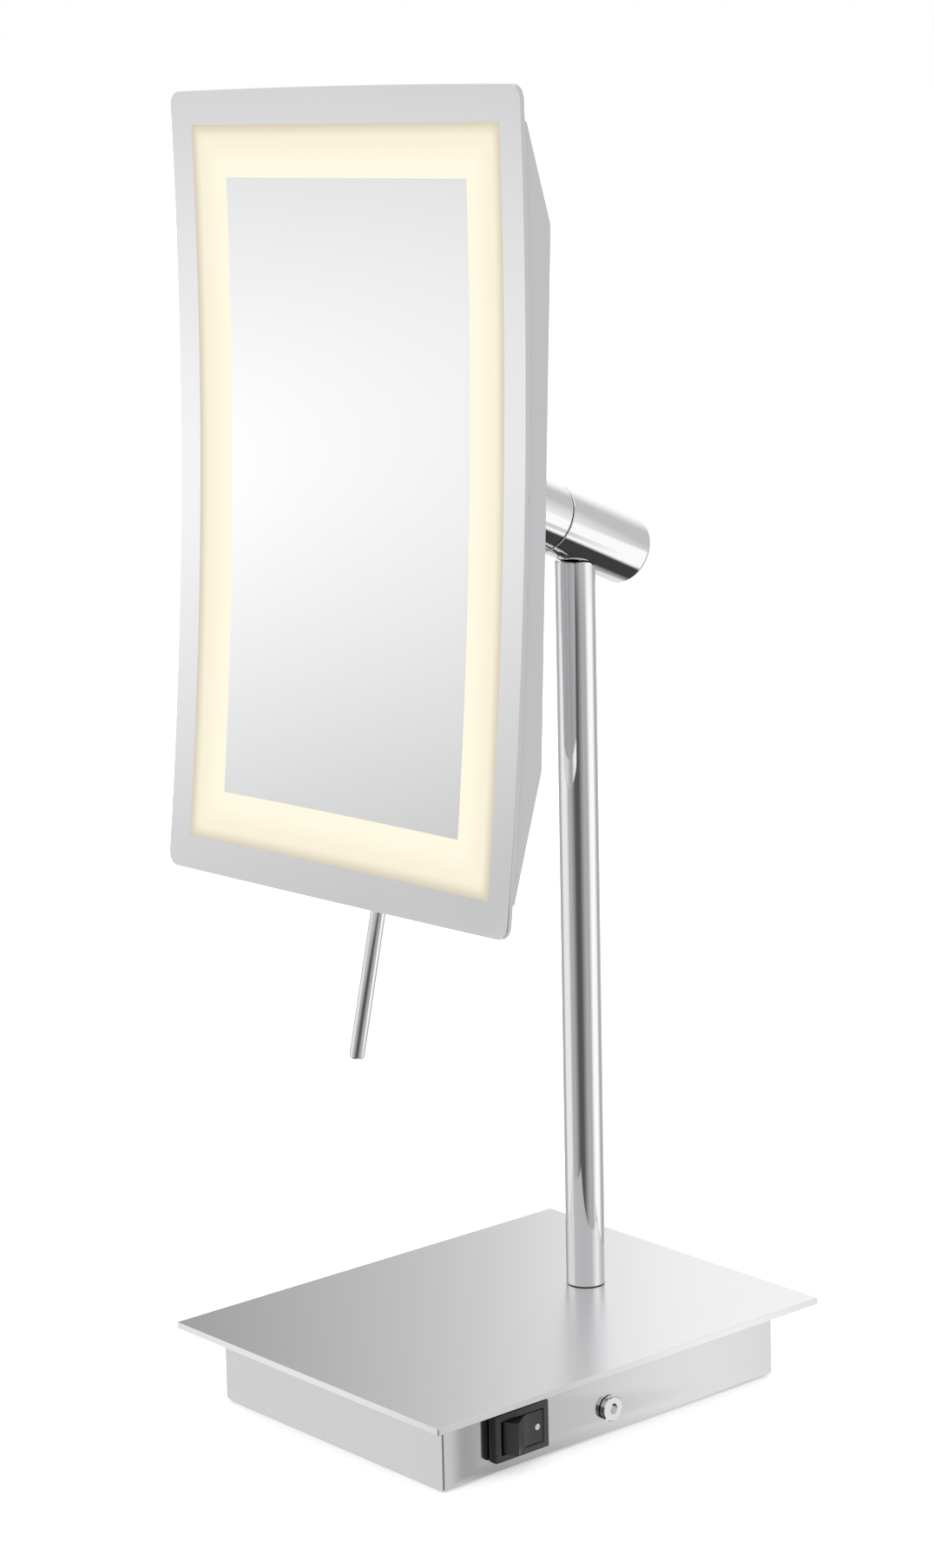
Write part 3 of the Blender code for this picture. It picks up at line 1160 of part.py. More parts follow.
def build():
    base_top_plate()
    base_box()
    bottom_cover()
    cover_screws()
    rubber_feet()
    ballast_block()
    side_screws()
    switch_bezel()
    switch_rocker()
    switch_pin()
    switch_terminals()
    driver()
    inlet()
    lead_base()
    pole()
    foot_plug()
    top_plug()
    barrel_body()
    joining_ring()
    front_collar()
    friction_parts()
    ball_liner()
    ball_stud()
    joint_hub()
    hub_screws()
    lever()
    mirror_glass()
    rear_housing()
    backing_plate()
    reflector_tray()
    led_strips()
    diffuser_frame()
    bond_pad()
    leads()
    bpy.context.view_layer.update()
    for obj in LATER:
        sharpen(obj)


build()
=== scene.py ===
import math

import bmesh
import bpy
from mathutils import Matrix, Vector

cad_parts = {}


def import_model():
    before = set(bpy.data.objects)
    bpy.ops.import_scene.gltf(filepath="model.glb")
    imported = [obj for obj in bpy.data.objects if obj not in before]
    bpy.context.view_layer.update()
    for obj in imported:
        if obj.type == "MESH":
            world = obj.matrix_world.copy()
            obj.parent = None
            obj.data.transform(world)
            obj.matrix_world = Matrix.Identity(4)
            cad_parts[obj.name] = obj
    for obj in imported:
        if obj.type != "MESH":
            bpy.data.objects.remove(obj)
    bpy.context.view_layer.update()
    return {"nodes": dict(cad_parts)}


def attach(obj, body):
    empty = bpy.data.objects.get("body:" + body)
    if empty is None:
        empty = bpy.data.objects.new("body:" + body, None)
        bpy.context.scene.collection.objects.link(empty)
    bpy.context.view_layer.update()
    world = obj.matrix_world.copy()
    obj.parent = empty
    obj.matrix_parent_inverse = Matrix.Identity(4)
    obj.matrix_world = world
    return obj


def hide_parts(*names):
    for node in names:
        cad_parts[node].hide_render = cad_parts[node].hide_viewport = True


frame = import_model()
NODES = frame["nodes"]
MM = 0.001

# The head's place and attitude in the CAD model, at rest
BALL_CENTRE = Vector((0, 2.62, 272.52)) * MM
HEAD_ROLL = math.radians(-1)
HEAD_PITCH = math.radians(-3.5)
HEAD_TURN = Matrix.Rotation(HEAD_ROLL, 4, "Y") @ Matrix.Rotation(HEAD_PITCH, 4, "X")
HEAD = Matrix.Translation(BALL_CENTRE) @ HEAD_TURN

# The glass, its lit band and the mirror inside it, in the head's frame
GLASS_REACH = 52.24 * MM
GLASS_CURVE = 1500 * MM
GLASS_HALF = Vector((75.5, 113.0)) * MM
GLASS_THICKNESS = 1.5 * MM
GLASS_CORNER = 4 * MM
GLASS_CROWN = 0.7 * MM
BAND_OUTER = Vector((66.5, 103.5)) * MM
BAND_INNER = Vector((52.0, 88.7)) * MM
BAND_OUTER_CORNER = 0.6 * MM
BAND_INNER_CORNER = 0.3 * MM
BAND_SINK = 0.02 * MM
MARGIN_BEVEL = 0.15 * MM
GROUND_EDGE_ANGLE = math.radians(60)

# The lit band's colours from its outer edge inwards, and how far they reach
BAND_EDGE_COLOUR = (0.60, 0.53, 0.41, 1)
BAND_MIDDLE_COLOUR = (0.90, 0.84, 0.66, 1)
BAND_INNER_COLOUR = (0.95, 0.90, 0.72, 1)
BAND_MIDDLE_SHARE = 0.4
BAND_FADE = (-1 * MM, 12 * MM)
BAND_CORNER_BLEND = 4 * MM
BAND_GLOW = 0.98

# The rocker's round mark
MARK_PLACE = Vector((53.62, -33.3, 12.1)) * MM
MARK_RADII = (0.95 * MM, 0.85 * MM)
MARK_HEIGHT = 0.1 * MM

# Shading: the angle that keeps an edge sharp, and the gap that is welded before smoothing
SHARP_ANGLE = math.radians(32)
WELD_GAP = 0.0005 * MM
GRAIN_DEPTH = 0.05 * MM

# Floor, lamps and world
FLOOR_HALF = 12
FLOOR_DROP = 0.05 * MM
FLOOR_GREY = 0.93
FLOOR_GLOW = 0.4
KEY_PLACE = (0.7, -0.9, 1.5)
KEY_TARGET = (0, 0, 0.15)
KEY_SIZE = 1.2
KEY_POWER = 8
TOP_PLACE = (-0.3, 0.3, 1.8)
TOP_TARGET = (0, 0, 0.1)
TOP_SIZE = 1.5
TOP_POWER = 6
WORLD_STRENGTH = 1.0

# The studio's round wall, which only reflections see. A panel is the angle of its middle, its half width and
# its fades before and after, in degrees from -X through -Y, and its grey as chrome shows it.
# The wall has three levels: beside the upright pieces, above them, and below the table.
MIDDLE_WALL = 170
MIDDLE_PANELS = {
    "left_front_panel": (42, 17, 17, 17, 230),
    "dark_room_behind_camera": (130, 11, 28, 28, 85),
    "right_panel": (222, 12, 19, 19, 250),
    "rear_panel": (306, 12, 24, 24, 220),
}
UPPER_WALL = 190
UPPER_PANELS = {
    "left_front_panel": (40, 20, 12, 12, 225),
    "right_panel": (210, 8, 25, 25, 240),
    "rear_panel": (304, 8, 28, 8, 240),
    "shade_at_left_rear": (340, 6, 14, 14, 140),
}
FOOT_WALL = 60
FOOT_PANELS = {
    "rear_panel": (316, 10, 16, 16, 155),
}
UPPER_FADE = (0.10, 0.19)
FOOT_FADE = (-0.75, -0.48)
CHROME_REFLECTANCE = 0.86
TENT_RADIUS = 0.75
TENT_LOW = -2.4
TENT_HIGH = 1.6

# Two cards in front of the wall: a soft patch for the glass, and a grey one for the base's side
BASE_CARD_AZIMUTH = math.radians(37)
BASE_CARD_HALF = Vector((0.14, 0.10))
BASE_CARD_CENTRE = -0.29
BASE_CARD_GREYS = (150, 250)
CARD_AZIMUTH = math.radians(-137.6)
CARD_HALF_WIDTH = 0.055
CARD_HEIGHT = (0.10, 0.40)
CARD_CENTRE = 0.245
CARD_REACH = (0.070, 0.190)
CARD_OFFSET = 0.2
CARD_STRENGTH = (0.54, 1.14)
CARD_GAP = 0.01
BASE_CARD_GAP = 0.02

# Camera
CAMERA_TARGET = Vector((-9.4, 0, 185.7)) * MM
CAMERA_DISTANCE = 1094 * MM
CAMERA_AZIMUTH = math.radians(49.01)
CAMERA_ELEVATION = math.radians(11.90)
CAMERA_ROLL = math.radians(1.24)
CAMERA_LENS = 85.28
CAMERA_SENSOR = 36


# ---------------------------------------------------------------- materials

def new_material(name):
    material = bpy.data.materials.new(name)
    material.use_nodes = True
    tree = material.node_tree
    return material, tree, tree.nodes["Principled BSDF"]


def noise(tree, scale, detail=2.0, stretch=None):
    """A noise texture in object coordinates, in metres."""
    coord = tree.nodes.new("ShaderNodeTexCoord")
    texture = tree.nodes.new("ShaderNodeTexNoise")
    texture.inputs["Scale"].default_value = scale
    texture.inputs["Detail"].default_value = detail
    source = coord.outputs["Object"]
    if stretch:
        mapping = tree.nodes.new("ShaderNodeMapping")
        mapping.inputs["Scale"].default_value = stretch
        tree.links.new(source, mapping.inputs["Vector"])
        source = mapping.outputs["Vector"]
    tree.links.new(source, texture.inputs["Vector"])
    return texture.outputs["Fac"]


def ranged(tree, source, low, high):
    node = tree.nodes.new("ShaderNodeMapRange")
    node.inputs["To Min"].default_value = low
    node.inputs["To Max"].default_value = high
    tree.links.new(source, node.inputs["Value"])
    return node.outputs["Result"]


def finish(name, colour, metallic, rough, spread=0.0, scale=400.0, bump=0.0, stretch=None, tint=0.0):
    """A finish with a little texture in its roughness, its colour and its surface."""
    material, tree, shader = new_material(name)
    shader.inputs["Base Color"].default_value = (*colour, 1)
    shader.inputs["Metallic"].default_value = metallic
    shader.inputs["Roughness"].default_value = rough
    grain = noise(tree, scale, 3.0, stretch)
    if spread:
        tree.links.new(ranged(tree, grain, rough - spread, rough + spread), shader.inputs["Roughness"])
    if tint:
        mix = tree.nodes.new("ShaderNodeMix")
        mix.data_type = "RGBA"
        mix.inputs[6].default_value = (*[c * (1 - tint) for c in colour], 1)
        mix.inputs[7].default_value = (*[min(1.0, c * (1 + tint)) for c in colour], 1)
        tree.links.new(grain, mix.inputs[0])
        tree.links.new(mix.outputs[2], shader.inputs["Base Color"])
    if bump:
        node = tree.nodes.new("ShaderNodeBump")
        node.inputs["Strength"].default_value = bump
        node.inputs["Distance"].default_value = GRAIN_DEPTH
        tree.links.new(grain, node.inputs["Height"])
        tree.links.new(node.outputs["Normal"], shader.inputs["Normal"])
    return material


POLISHED = finish("polished_chrome", (0.86, 0.86, 0.87), 1.0, 0.045, 0.015, 60)
SATIN_TOP = finish("satin_plate", (0.90, 0.885, 0.90), 1.0, 0.26, 0.015, 300, 0.004, (1, 12, 1))
SATIN_BOX = finish("satin_box", (0.68, 0.68, 0.69), 1.0, 0.14, 0.015, 300, 0.004, (1, 1, 10))
PLAIN_STEEL = finish("plain_steel", (0.42, 0.42, 0.44), 1.0, 0.38, 0.05, 200, 0.1)
IRON = finish("ballast_iron", (0.16, 0.16, 0.17), 0.6, 0.6, 0.08, 500, 0.5, tint=0.2)
BRASS = finish("brass", (0.70, 0.52, 0.24), 1.0, 0.3, 0.04, 300)
BLACK = finish("switch_black", (0.022, 0.021, 0.024), 0.0, 0.34, 0.04, 900, 0.15)
ROCKER_BLACK = finish("rocker_black", (0.026, 0.025, 0.028), 0.0, 0.38, 0.04, 900, 0.2)
INLET_BLACK = finish("inlet_black", (0.03, 0.03, 0.032), 0.0, 0.5, 0.05, 700, 0.2)
RUBBER = finish("rubber", (0.03, 0.03, 0.03), 0.0, 0.75, 0.05, 900, 0.4, tint=0.2)
FOAM = finish("foam", (0.06, 0.06, 0.06), 0.0, 0.9, 0.05, 1500, 0.8, tint=0.3)
NYLON = finish("nylon", (0.80, 0.79, 0.75), 0.0, 0.4, 0.05, 300, 0.05)
WHITE = finish("white_plastic", (0.86, 0.86, 0.84), 0.0, 0.4, 0.04, 300, 0.05)
BOARD = finish("board_green", (0.02, 0.16, 0.06), 0.0, 0.4, 0.08, 250, 0.1, tint=0.3)
FERRITE = finish("ferrite", (0.05, 0.05, 0.055), 0.2, 0.55, 0.05, 600, 0.3)
CAN = finish("can_aluminium", (0.66, 0.66, 0.68), 1.0, 0.3, 0.05, 400)
HOUSING = finish("housing_silver", (0.47, 0.47, 0.48), 0.55, 0.42, 0.03, 2500, 0.1)
WIRE = finish("lead_white", (0.76, 0.76, 0.74), 0.0, 0.45, 0.05, 300)
LAMPS = finish("lamp_strip", (0.90, 0.86, 0.70), 0.0, 0.5, 0.05, 800)
OPAL = finish("opal", (0.95, 0.92, 0.82), 0.0, 0.45, 0.04, 300)
MARK = finish("mark_grey", (0.46, 0.46, 0.46), 0.0, 0.5, 0.04, 900)

BY_NODE = {
    "base_top_plate": SATIN_TOP, "base_box": SATIN_BOX, "bottom_cover": PLAIN_STEEL, "ballast_block": IRON,
    "side_screw_right": POLISHED, "side_screw_left": POLISHED, "switch_bezel": BLACK,
    "switch_rocker": ROCKER_BLACK, "switch_pin": PLAIN_STEEL, "switch_terminal_1": BRASS,
    "switch_terminal_2": BRASS, "driver_board": BOARD, "driver_inductor": FERRITE, "driver_capacitor": CAN,
    "lead_connector": WHITE, "inlet_socket": INLET_BLACK, "inlet_pin": BRASS, "inlet_nut": PLAIN_STEEL,
    "lead_base": WIRE, "lead_column": WIRE, "lead_head": WIRE, "pole": POLISHED, "barrel_body": POLISHED,
    "front_collar": POLISHED, "joint_hub": POLISHED, "lever_rod": POLISHED, "lever_nut": POLISHED,
    "pressure_cup": NYLON, "ball_liner": NYLON, "rear_housing": HOUSING, "reflector_tray": WHITE,
    "diffuser_frame": OPAL, "bond_pad": FOAM, "mirror_glass": POLISHED,
}
for side in ("left", "right", "top", "bottom"):
    BY_NODE["led_strip_" + side] = LAMPS
for count in range(1, 5):
    BY_NODE["rubber_foot_%d" % count] = RUBBER
for count in range(1, 4):
    BY_NODE["hub_screw_%d" % count] = POLISHED


# ---------------------------------------------------------------- CAD nodes shown as they are

def smooth_by_angle():
    """A node group that shades a mesh smooth, except at its sharp edges."""
    group = bpy.data.node_groups.new("smooth_by_angle", "GeometryNodeTree")
    group.interface.new_socket("Geometry", in_out="INPUT", socket_type="NodeSocketGeometry")
    group.interface.new_socket("Geometry", in_out="OUTPUT", socket_type="NodeSocketGeometry")
    start = group.nodes.new("NodeGroupInput")
    end = group.nodes.new("NodeGroupOutput")
    faces = group.nodes.new("GeometryNodeSetShadeSmooth")
    edges = group.nodes.new("GeometryNodeSetShadeSmooth")
    edges.domain = "EDGE"
    edges.inputs["Shade Smooth"].default_value = False
    angle = group.nodes.new("GeometryNodeInputMeshEdgeAngle")
    sharp = group.nodes.new("ShaderNodeMath")
    sharp.operation = "GREATER_THAN"
    sharp.inputs[1].default_value = SHARP_ANGLE
    group.links.new(start.outputs[0], faces.inputs["Geometry"])
    group.links.new(faces.outputs[0], edges.inputs["Geometry"])
    group.links.new(angle.outputs["Unsigned Angle"], sharp.inputs[0])
    group.links.new(sharp.outputs[0], edges.inputs["Selection"])
    group.links.new(edges.outputs[0], end.inputs[0])
    return group


SMOOTH = smooth_by_angle()
for node_name, node in NODES.items():
    node.data.materials.clear()
    node.data.materials.append(BY_NODE.get(node_name, PLAIN_STEEL))
    weld = node.modifiers.new("weld", "WELD")
    weld.merge_threshold = WELD_GAP
    smooth = node.modifiers.new("smooth", "NODES")
    smooth.node_group = SMOOTH


# ---------------------------------------------------------------- detailed pieces

def from_bmesh(name, bm, material, angle=30.0):
    bmesh.ops.recalc_face_normals(bm, faces=bm.faces)
    mesh = bpy.data.meshes.new(name)
    bm.to_mesh(mesh)
    bm.free()
    mesh.shade_smooth()
    mesh.set_sharp_from_angle(angle=math.radians(angle))
    mesh.materials.append(material)
    obj = bpy.data.objects.new(name, mesh)
    bpy.context.scene.collection.objects.link(obj)
    return obj


def piece(obj, body, slot, *stands_for):
    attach(obj, body)
    if stands_for:
        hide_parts(*stands_for)
    return obj


def glass_front(x, z):
    return -GLASS_REACH - (x * x + z * z) / (2 * GLASS_CURVE)


def outline(half, corner, crown, per_side=24, per_corner=8):
    """Points round a rectangle, the same number for any size, so that two outlines can be joined."""
    points = []
    for quarter in range(4):
        turn = quarter * math.pi / 2
        cx = (half.x - corner) * (1 if quarter in (0, 3) else -1)
        cz = (half.y - corner) * (1 if quarter in (0, 1) else -1)
        for step in range(per_corner + 1):
            angle = turn + math.pi / 2 * step / per_corner
            points.append((cx + corner * math.cos(angle), cz + corner * math.sin(angle)))
        nx = (half.x - corner) * (1 if quarter in (2, 3) else -1)
        nz = (half.y - corner) * (1 if quarter in (3, 0) else -1)
        end_angle = turn + math.pi / 2
        ex = nx + corner * math.cos(end_angle)
        ez = nz + corner * math.sin(end_angle)
        sx, sz = points[-1]
        for step in range(1, per_side):
            share = step / per_side
            points.append((sx + (ex - sx) * share, sz + (ez - sz) * share))
    if crown:
        reach = half.y - corner
        points = [(x, z + math.copysign(crown * (1 - (x / half.x) ** 2), z) if abs(z) > reach else z)
                  for x, z in points]
    return points


def ring_slab(name, material, outer, inner, front, back, steps=1, bevel=0.0):
    """A frame that follows the glass's curve between two outlines with as many points each."""
    bm = bmesh.new()
    count = len(outer)

    def add_ring(points, depth):
        return [bm.verts.new(HEAD @ Vector((x, glass_front(x, z) + depth, z))) for x, z in points]

    def between(share):
        return [(ox + (ix - ox) * share, oz + (iz - oz) * share) for (ox, oz), (ix, iz) in zip(outer, inner)]

    rings = []
    if bevel:
        cx = max(x for x, z in outer)
        trimmed = [(x * (1 - bevel / cx), z * (1 - bevel / cx)) for x, z in outer]
        rings.append(add_ring(outer, back - bevel))
        rings.append(add_ring(outer, front + bevel))
        outer = trimmed
    for step in range(steps + 1):
        rings.append(add_ring(between(step / steps), front))
    for step in range(steps, -1, -1):
        rings.append(add_ring(between(step / steps), back))
    for index, ring in enumerate(rings):
        following = rings[(index + 1) % len(rings)]
        for k in range(count):
            bm.faces.new((ring[k], ring[(k + 1) % count], following[(k + 1) % count], following[k]))
    return from_bmesh(name, bm, material, 25)


def panel(name, material, half, front, back, columns=40, rows=60):
    bm = bmesh.new()
    bmesh.ops.create_grid(bm, x_segments=columns, y_segments=rows, size=1)
    for vert in bm.verts:
        x = vert.co.x * half.x
        z = vert.co.y * half.y
        vert.co = (x, glass_front(x, z) + front, z)
    made = bmesh.ops.extrude_face_region(bm, geom=bm.faces[:])
    for item in made["geom"]:
        if isinstance(item, bmesh.types.BMVert):
            item.co.y += back - front
    bmesh.ops.transform(bm, matrix=HEAD, verts=bm.verts)
    return from_bmesh(name, bm, material, 25)


def lit_material():
    """The band glows warm white, a little darker towards its outer edge."""
    material, tree, shader = new_material("lit_band")
    shader.inputs["Base Color"].default_value = (0.02, 0.019, 0.016, 1)
    shader.inputs["Roughness"].default_value = 0.3
    coord = tree.nodes.new("ShaderNodeTexCoord")
    mapping = tree.nodes.new("ShaderNodeMapping")
    mapping.vector_type = "TEXTURE"
    location, rotation, scale = HEAD.decompose()
    mapping.inputs["Location"].default_value = location
    mapping.inputs["Rotation"].default_value = rotation.to_euler()
    tree.links.new(coord.outputs["Object"], mapping.inputs["Vector"])
    split = tree.nodes.new("ShaderNodeSeparateXYZ")
    tree.links.new(mapping.outputs["Vector"], split.inputs["Vector"])

    def edge_distance(axis, half):
        size = tree.nodes.new("ShaderNodeMath")
        size.operation = "ABSOLUTE"
        tree.links.new(split.outputs[axis], size.inputs[0])
        far = tree.nodes.new("ShaderNodeMath")
        far.operation = "SUBTRACT"
        far.inputs[0].default_value = half
        tree.links.new(size.outputs[0], far.inputs[1])
        return far.outputs[0]

    near = tree.nodes.new("ShaderNodeMath")
    near.operation = "SMOOTH_MIN"
    near.inputs[2].default_value = BAND_CORNER_BLEND
    tree.links.new(edge_distance("X", BAND_OUTER.x), near.inputs[0])
    tree.links.new(edge_distance("Z", BAND_OUTER.y), near.inputs[1])
    ramp = tree.nodes.new("ShaderNodeValToRGB")
    ramp.color_ramp.interpolation = "EASE"
    ramp.color_ramp.elements[0].position = 0.0
    ramp.color_ramp.elements[0].color = BAND_EDGE_COLOUR
    ramp.color_ramp.elements[1].position = 1.0
    ramp.color_ramp.elements[1].color = BAND_INNER_COLOUR
    middle = ramp.color_ramp.elements.new(BAND_MIDDLE_SHARE)
    middle.color = BAND_MIDDLE_COLOUR
    span = tree.nodes.new("ShaderNodeMapRange")
    span.inputs["From Min"].default_value = BAND_FADE[0]
    span.inputs["From Max"].default_value = BAND_FADE[1]
    tree.links.new(near.outputs[0], span.inputs["Value"])
    tree.links.new(span.outputs["Result"], ramp.inputs["Fac"])
    tree.links.new(ramp.outputs["Color"], shader.inputs["Emission Color"])
    shader.inputs["Emission Strength"].default_value = BAND_GLOW
    return material


def mirror_material(name, colour, rough):
    material, tree, shader = new_material(name)
    shader.inputs["Base Color"].default_value = (*colour, 1)
    shader.inputs["Metallic"].default_value = 1.0
    shader.inputs["Roughness"].default_value = rough
    grain = noise(tree, 30, 1.0)
    tree.links.new(ranged(tree, grain, rough * 0.8, rough * 1.2), shader.inputs["Roughness"])
    return material


GROUND_EDGE = finish("ground_glass_edge", (0.36, 0.37, 0.37), 0.0, 0.35, 0.04, 900, 0.05)
MIRROR = mirror_material("mirror_silver", (0.93, 0.93, 0.94), 0.02)
MARGIN = mirror_material("mirror_margin", (0.88, 0.88, 0.89), 0.10)

full = outline(GLASS_HALF, GLASS_CORNER, GLASS_CROWN)
outer_band = outline(BAND_OUTER, BAND_OUTER_CORNER, 0.0)
inner_band = outline(BAND_INNER, BAND_INNER_CORNER, 0.0)
margin = ring_slab("glass_margin", MARGIN, full, outer_band, 0.0, GLASS_THICKNESS, 4, MARGIN_BEVEL)
margin.data.materials.append(GROUND_EDGE)
for face in margin.data.polygons:
    facing = HEAD.to_3x3().inverted() @ face.normal
    if abs(facing.y) < math.cos(GROUND_EDGE_ANGLE):
        face.material_index = 1
band = ring_slab("glass_lit_band", lit_material(), outer_band, inner_band, BAND_SINK, GLASS_THICKNESS, 6)
centre = panel("glass_mirror_panel", MIRROR, BAND_INNER, 0.0, GLASS_THICKNESS)
piece(margin, "head", "mirror", "mirror_glass")
piece(band, "head", "opal")
piece(centre, "head", "mirror")


def switch_mark():
    """The round mark on the rocker's rear half."""
    bm = bmesh.new()
    low, high = MARK_RADII
    bmesh.ops.create_cone(bm, cap_ends=True, segments=32, radius1=low, radius2=high, depth=MARK_HEIGHT)
    place = Matrix.Translation(MARK_PLACE) @ Matrix.Rotation(math.pi / 2, 4, "Y")
    bmesh.ops.transform(bm, matrix=place, verts=bm.verts)
    return from_bmesh("rocker_mark", bm, MARK)


piece(switch_mark(), "rocker", "white_plastic")


# ---------------------------------------------------------------- floor, studio and camera

def floor():
    bm = bmesh.new()
    bmesh.ops.create_grid(bm, x_segments=1, y_segments=1, size=FLOOR_HALF)
    material, tree, shader = new_material("floor_white")
    shader.inputs["Base Color"].default_value = (FLOOR_GREY, FLOOR_GREY, FLOOR_GREY, 1)
    shader.inputs["Roughness"].default_value = 0.9
    shader.inputs["Specular IOR Level"].default_value = 0.0
    shader.inputs["Emission Color"].default_value = (1, 1, 1, 1)
    shader.inputs["Emission Strength"].default_value = FLOOR_GLOW
    obj = from_bmesh("floor", bm, material)
    obj.location.z = -FLOOR_DROP
    obj.visible_glossy = False
    return obj


def only_in_reflections(obj):
    obj.visible_camera = False
    obj.visible_diffuse = False
    obj.visible_transmission = False
    obj.visible_shadow = False
    obj.visible_volume_scatter = False
    return obj


def emission_only(name):
    material = bpy.data.materials.new(name)
    material.use_nodes = True
    tree = material.node_tree
    tree.nodes.clear()
    light = tree.nodes.new("ShaderNodeEmission")
    out = tree.nodes.new("ShaderNodeOutputMaterial")
    tree.links.new(light.outputs["Emission"], out.inputs["Surface"])
    return material, tree, light


def linear(grey):
    return ((grey / 255 + 0.055) / 1.055) ** 2.4


def panel_stops(wall, panels):
    """The wall's grey round a full turn, with each panel fading into it."""
    stops = []
    for middle, half, fade_in, fade_out, grey in panels.values():
        stops.append(((middle - half - fade_in) / 360, wall))
        stops.append(((middle - half) / 360, grey))
        stops.append(((middle + half) / 360, grey))
        stops.append(((middle + half + fade_out) / 360, wall))
    return stops


def grey_ramp(tree, source, stops):
    ramp = tree.nodes.new("ShaderNodeValToRGB")
    elements = ramp.color_ramp.elements
    elements[0].position = stops[0][0]
    elements[1].position = stops[-1][0]
    for position, grey in stops[1:-1]:
        elements.new(position)
    for element, (position, grey) in zip(elements, stops):
        element.color = (*[linear(grey) / CHROME_REFLECTANCE] * 3, 1)
    tree.links.new(source, ramp.inputs["Fac"])
    return ramp.outputs["Color"]


def fade(tree, source, low, high):
    node = tree.nodes.new("ShaderNodeMapRange")
    node.interpolation_type = "SMOOTHSTEP"
    node.inputs["From Min"].default_value = low
    node.inputs["From Max"].default_value = high
    tree.links.new(source, node.inputs["Value"])
    return node.outputs["Result"]


def colour_mix(tree, factor, first, second):
    node = tree.nodes.new("ShaderNodeMix")
    node.data_type = "RGBA"
    tree.links.new(factor, node.inputs[0])
    tree.links.new(first, node.inputs[6])
    tree.links.new(second, node.inputs[7])
    return node.outputs[2]


def tent():
    """A round wall of soft light and shade that only reflections see."""
    bm = bmesh.new()
    height = TENT_HIGH - TENT_LOW
    radius = TENT_RADIUS
    bmesh.ops.create_cone(bm, cap_ends=False, segments=96, radius1=radius, radius2=radius, depth=height)
    bmesh.ops.translate(bm, vec=(0, 0, (TENT_HIGH + TENT_LOW) / 2), verts=bm.verts)
    material, tree, light = emission_only("tent")
    coord = tree.nodes.new("ShaderNodeTexCoord")
    gradient = tree.nodes.new("ShaderNodeTexGradient")
    gradient.gradient_type = "RADIAL"
    split = tree.nodes.new("ShaderNodeSeparateXYZ")
    tree.links.new(coord.outputs["Object"], gradient.inputs["Vector"])
    tree.links.new(coord.outputs["Object"], split.inputs["Vector"])
    turn = gradient.outputs["Fac"]
    level = split.outputs["Z"]
    foot = grey_ramp(tree, turn, panel_stops(FOOT_WALL, FOOT_PANELS))
    middle = grey_ramp(tree, turn, panel_stops(MIDDLE_WALL, MIDDLE_PANELS))
    upper = grey_ramp(tree, turn, panel_stops(UPPER_WALL, UPPER_PANELS))
    lower_part = colour_mix(tree, fade(tree, level, *FOOT_FADE), foot, middle)
    tree.links.new(colour_mix(tree, fade(tree, level, *UPPER_FADE), lower_part, upper), light.inputs["Color"])
    return only_in_reflections(from_bmesh("tent", bm, material))


def stand_at_wall(obj, azimuth, gap, height):
    """Put a card just inside the wall, facing its middle."""
    radius = TENT_RADIUS - gap
    obj.location = (radius * math.cos(azimuth), radius * math.sin(azimuth), height)
    obj.rotation_euler.z = azimuth + math.pi / 2


def glass_card():
    """The soft patch of light that the concave glass shows the viewer."""
    bm = bmesh.new()
    low, high = CARD_HEIGHT
    bmesh.ops.create_grid(bm, x_segments=4, y_segments=8, size=1)
    for vert in bm.verts:
        height = (low + high) / 2 - CARD_CENTRE + vert.co.y * (high - low) / 2
        vert.co = (vert.co.x * CARD_HALF_WIDTH, 0, height)
    material, tree, light = emission_only("glass_card")
    coord = tree.nodes.new("ShaderNodeTexCoord")
    mapping = tree.nodes.new("ShaderNodeMapping")
    mapping.inputs["Location"].default_value = (CARD_OFFSET, 0, 0)
    mapping.inputs["Scale"].default_value = (1 / CARD_REACH[0], 1, 1 / CARD_REACH[1])
    gradient = tree.nodes.new("ShaderNodeTexGradient")
    gradient.gradient_type = "SPHERICAL"
    tree.links.new(coord.outputs["Object"], mapping.inputs["Vector"])
    tree.links.new(mapping.outputs["Vector"], gradient.inputs["Vector"])
    tree.links.new(ranged(tree, gradient.outputs["Fac"], *CARD_STRENGTH), light.inputs["Strength"])
    obj = from_bmesh("glass_card", bm, material)
    stand_at_wall(obj, CARD_AZIMUTH, CARD_GAP, CARD_CENTRE)
    return only_in_reflections(obj)


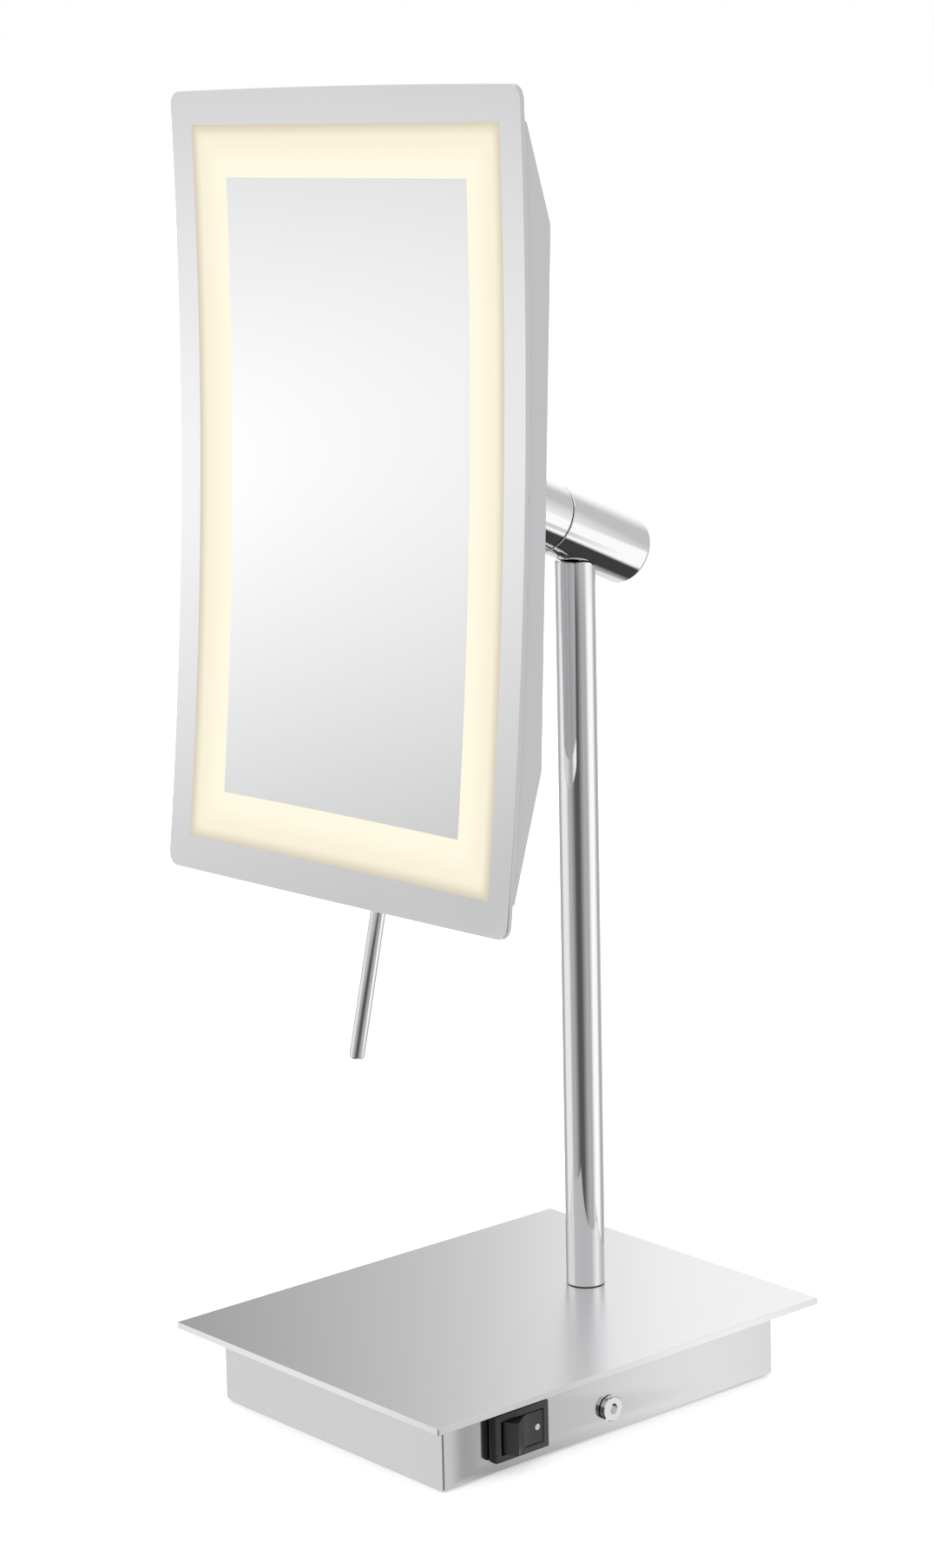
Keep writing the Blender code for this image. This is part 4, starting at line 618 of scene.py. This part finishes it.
def base_card():
    """A grey card low on the right, which shades the base's side towards its front corner."""
    bm = bmesh.new()
    bmesh.ops.create_grid(bm, x_segments=4, y_segments=4, size=1)
    for vert in bm.verts:
        vert.co = (vert.co.x * BASE_CARD_HALF.x, 0, vert.co.y * BASE_CARD_HALF.y)
    material, tree, light = emission_only("base_card")
    coord = tree.nodes.new("ShaderNodeTexCoord")
    split = tree.nodes.new("ShaderNodeSeparateXYZ")
    tree.links.new(coord.outputs["Object"], split.inputs["Vector"])
    across = tree.nodes.new("ShaderNodeMapRange")
    across.inputs["From Min"].default_value = -BASE_CARD_HALF.x
    across.inputs["From Max"].default_value = BASE_CARD_HALF.x
    across.inputs["To Min"].default_value = linear(BASE_CARD_GREYS[0]) / CHROME_REFLECTANCE
    across.inputs["To Max"].default_value = linear(BASE_CARD_GREYS[1]) / CHROME_REFLECTANCE
    tree.links.new(split.outputs["X"], across.inputs["Value"])
    tree.links.new(across.outputs["Result"], light.inputs["Strength"])
    obj = from_bmesh("base_card", bm, material)
    stand_at_wall(obj, BASE_CARD_AZIMUTH, BASE_CARD_GAP, BASE_CARD_CENTRE)
    return only_in_reflections(obj)


def area_light(name, location, target, size, power):
    lamp = bpy.data.lights.new(name, "AREA")
    lamp.shape = "DISK"
    lamp.size = size
    lamp.energy = power
    obj = bpy.data.objects.new(name, lamp)
    obj.location = location
    obj.rotation_euler = (Vector(target) - Vector(location)).to_track_quat("-Z", "Y").to_euler()
    bpy.context.scene.collection.objects.link(obj)
    obj.visible_glossy = False
    return obj


def world():
    made = bpy.data.worlds.new("studio")
    made.use_nodes = True
    background = made.node_tree.nodes["Background"]
    background.inputs["Color"].default_value = (1, 1, 1, 1)
    background.inputs["Strength"].default_value = WORLD_STRENGTH
    bpy.context.scene.world = made


def camera():
    data = bpy.data.cameras.new("camera")
    data.lens = CAMERA_LENS
    data.sensor_width = CAMERA_SENSOR
    data.clip_start = 0.01
    data.clip_end = 100
    right = Vector((math.cos(CAMERA_AZIMUTH), math.sin(CAMERA_AZIMUTH), 0))
    flat = math.cos(CAMERA_ELEVATION)
    level = Vector((math.sin(CAMERA_AZIMUTH), -math.cos(CAMERA_AZIMUTH), 0))
    back = level * flat + Vector((0, 0, math.sin(CAMERA_ELEVATION)))
    up = back.cross(right)
    rolled_right = right * math.cos(CAMERA_ROLL) - up * math.sin(CAMERA_ROLL)
    rolled_up = right * math.sin(CAMERA_ROLL) + up * math.cos(CAMERA_ROLL)
    matrix = Matrix((rolled_right, rolled_up, back)).transposed().to_4x4()
    matrix.translation = CAMERA_TARGET + back * CAMERA_DISTANCE
    obj = bpy.data.objects.new("camera", data)
    obj.matrix_world = matrix
    bpy.context.scene.collection.objects.link(obj)
    bpy.context.scene.camera = obj


floor()
tent()
glass_card()
base_card()
world()
area_light("key", KEY_PLACE, KEY_TARGET, KEY_SIZE, KEY_POWER)
area_light("top", TOP_PLACE, TOP_TARGET, TOP_SIZE, TOP_POWER)
camera()
bpy.context.scene.view_settings.view_transform = "Standard"
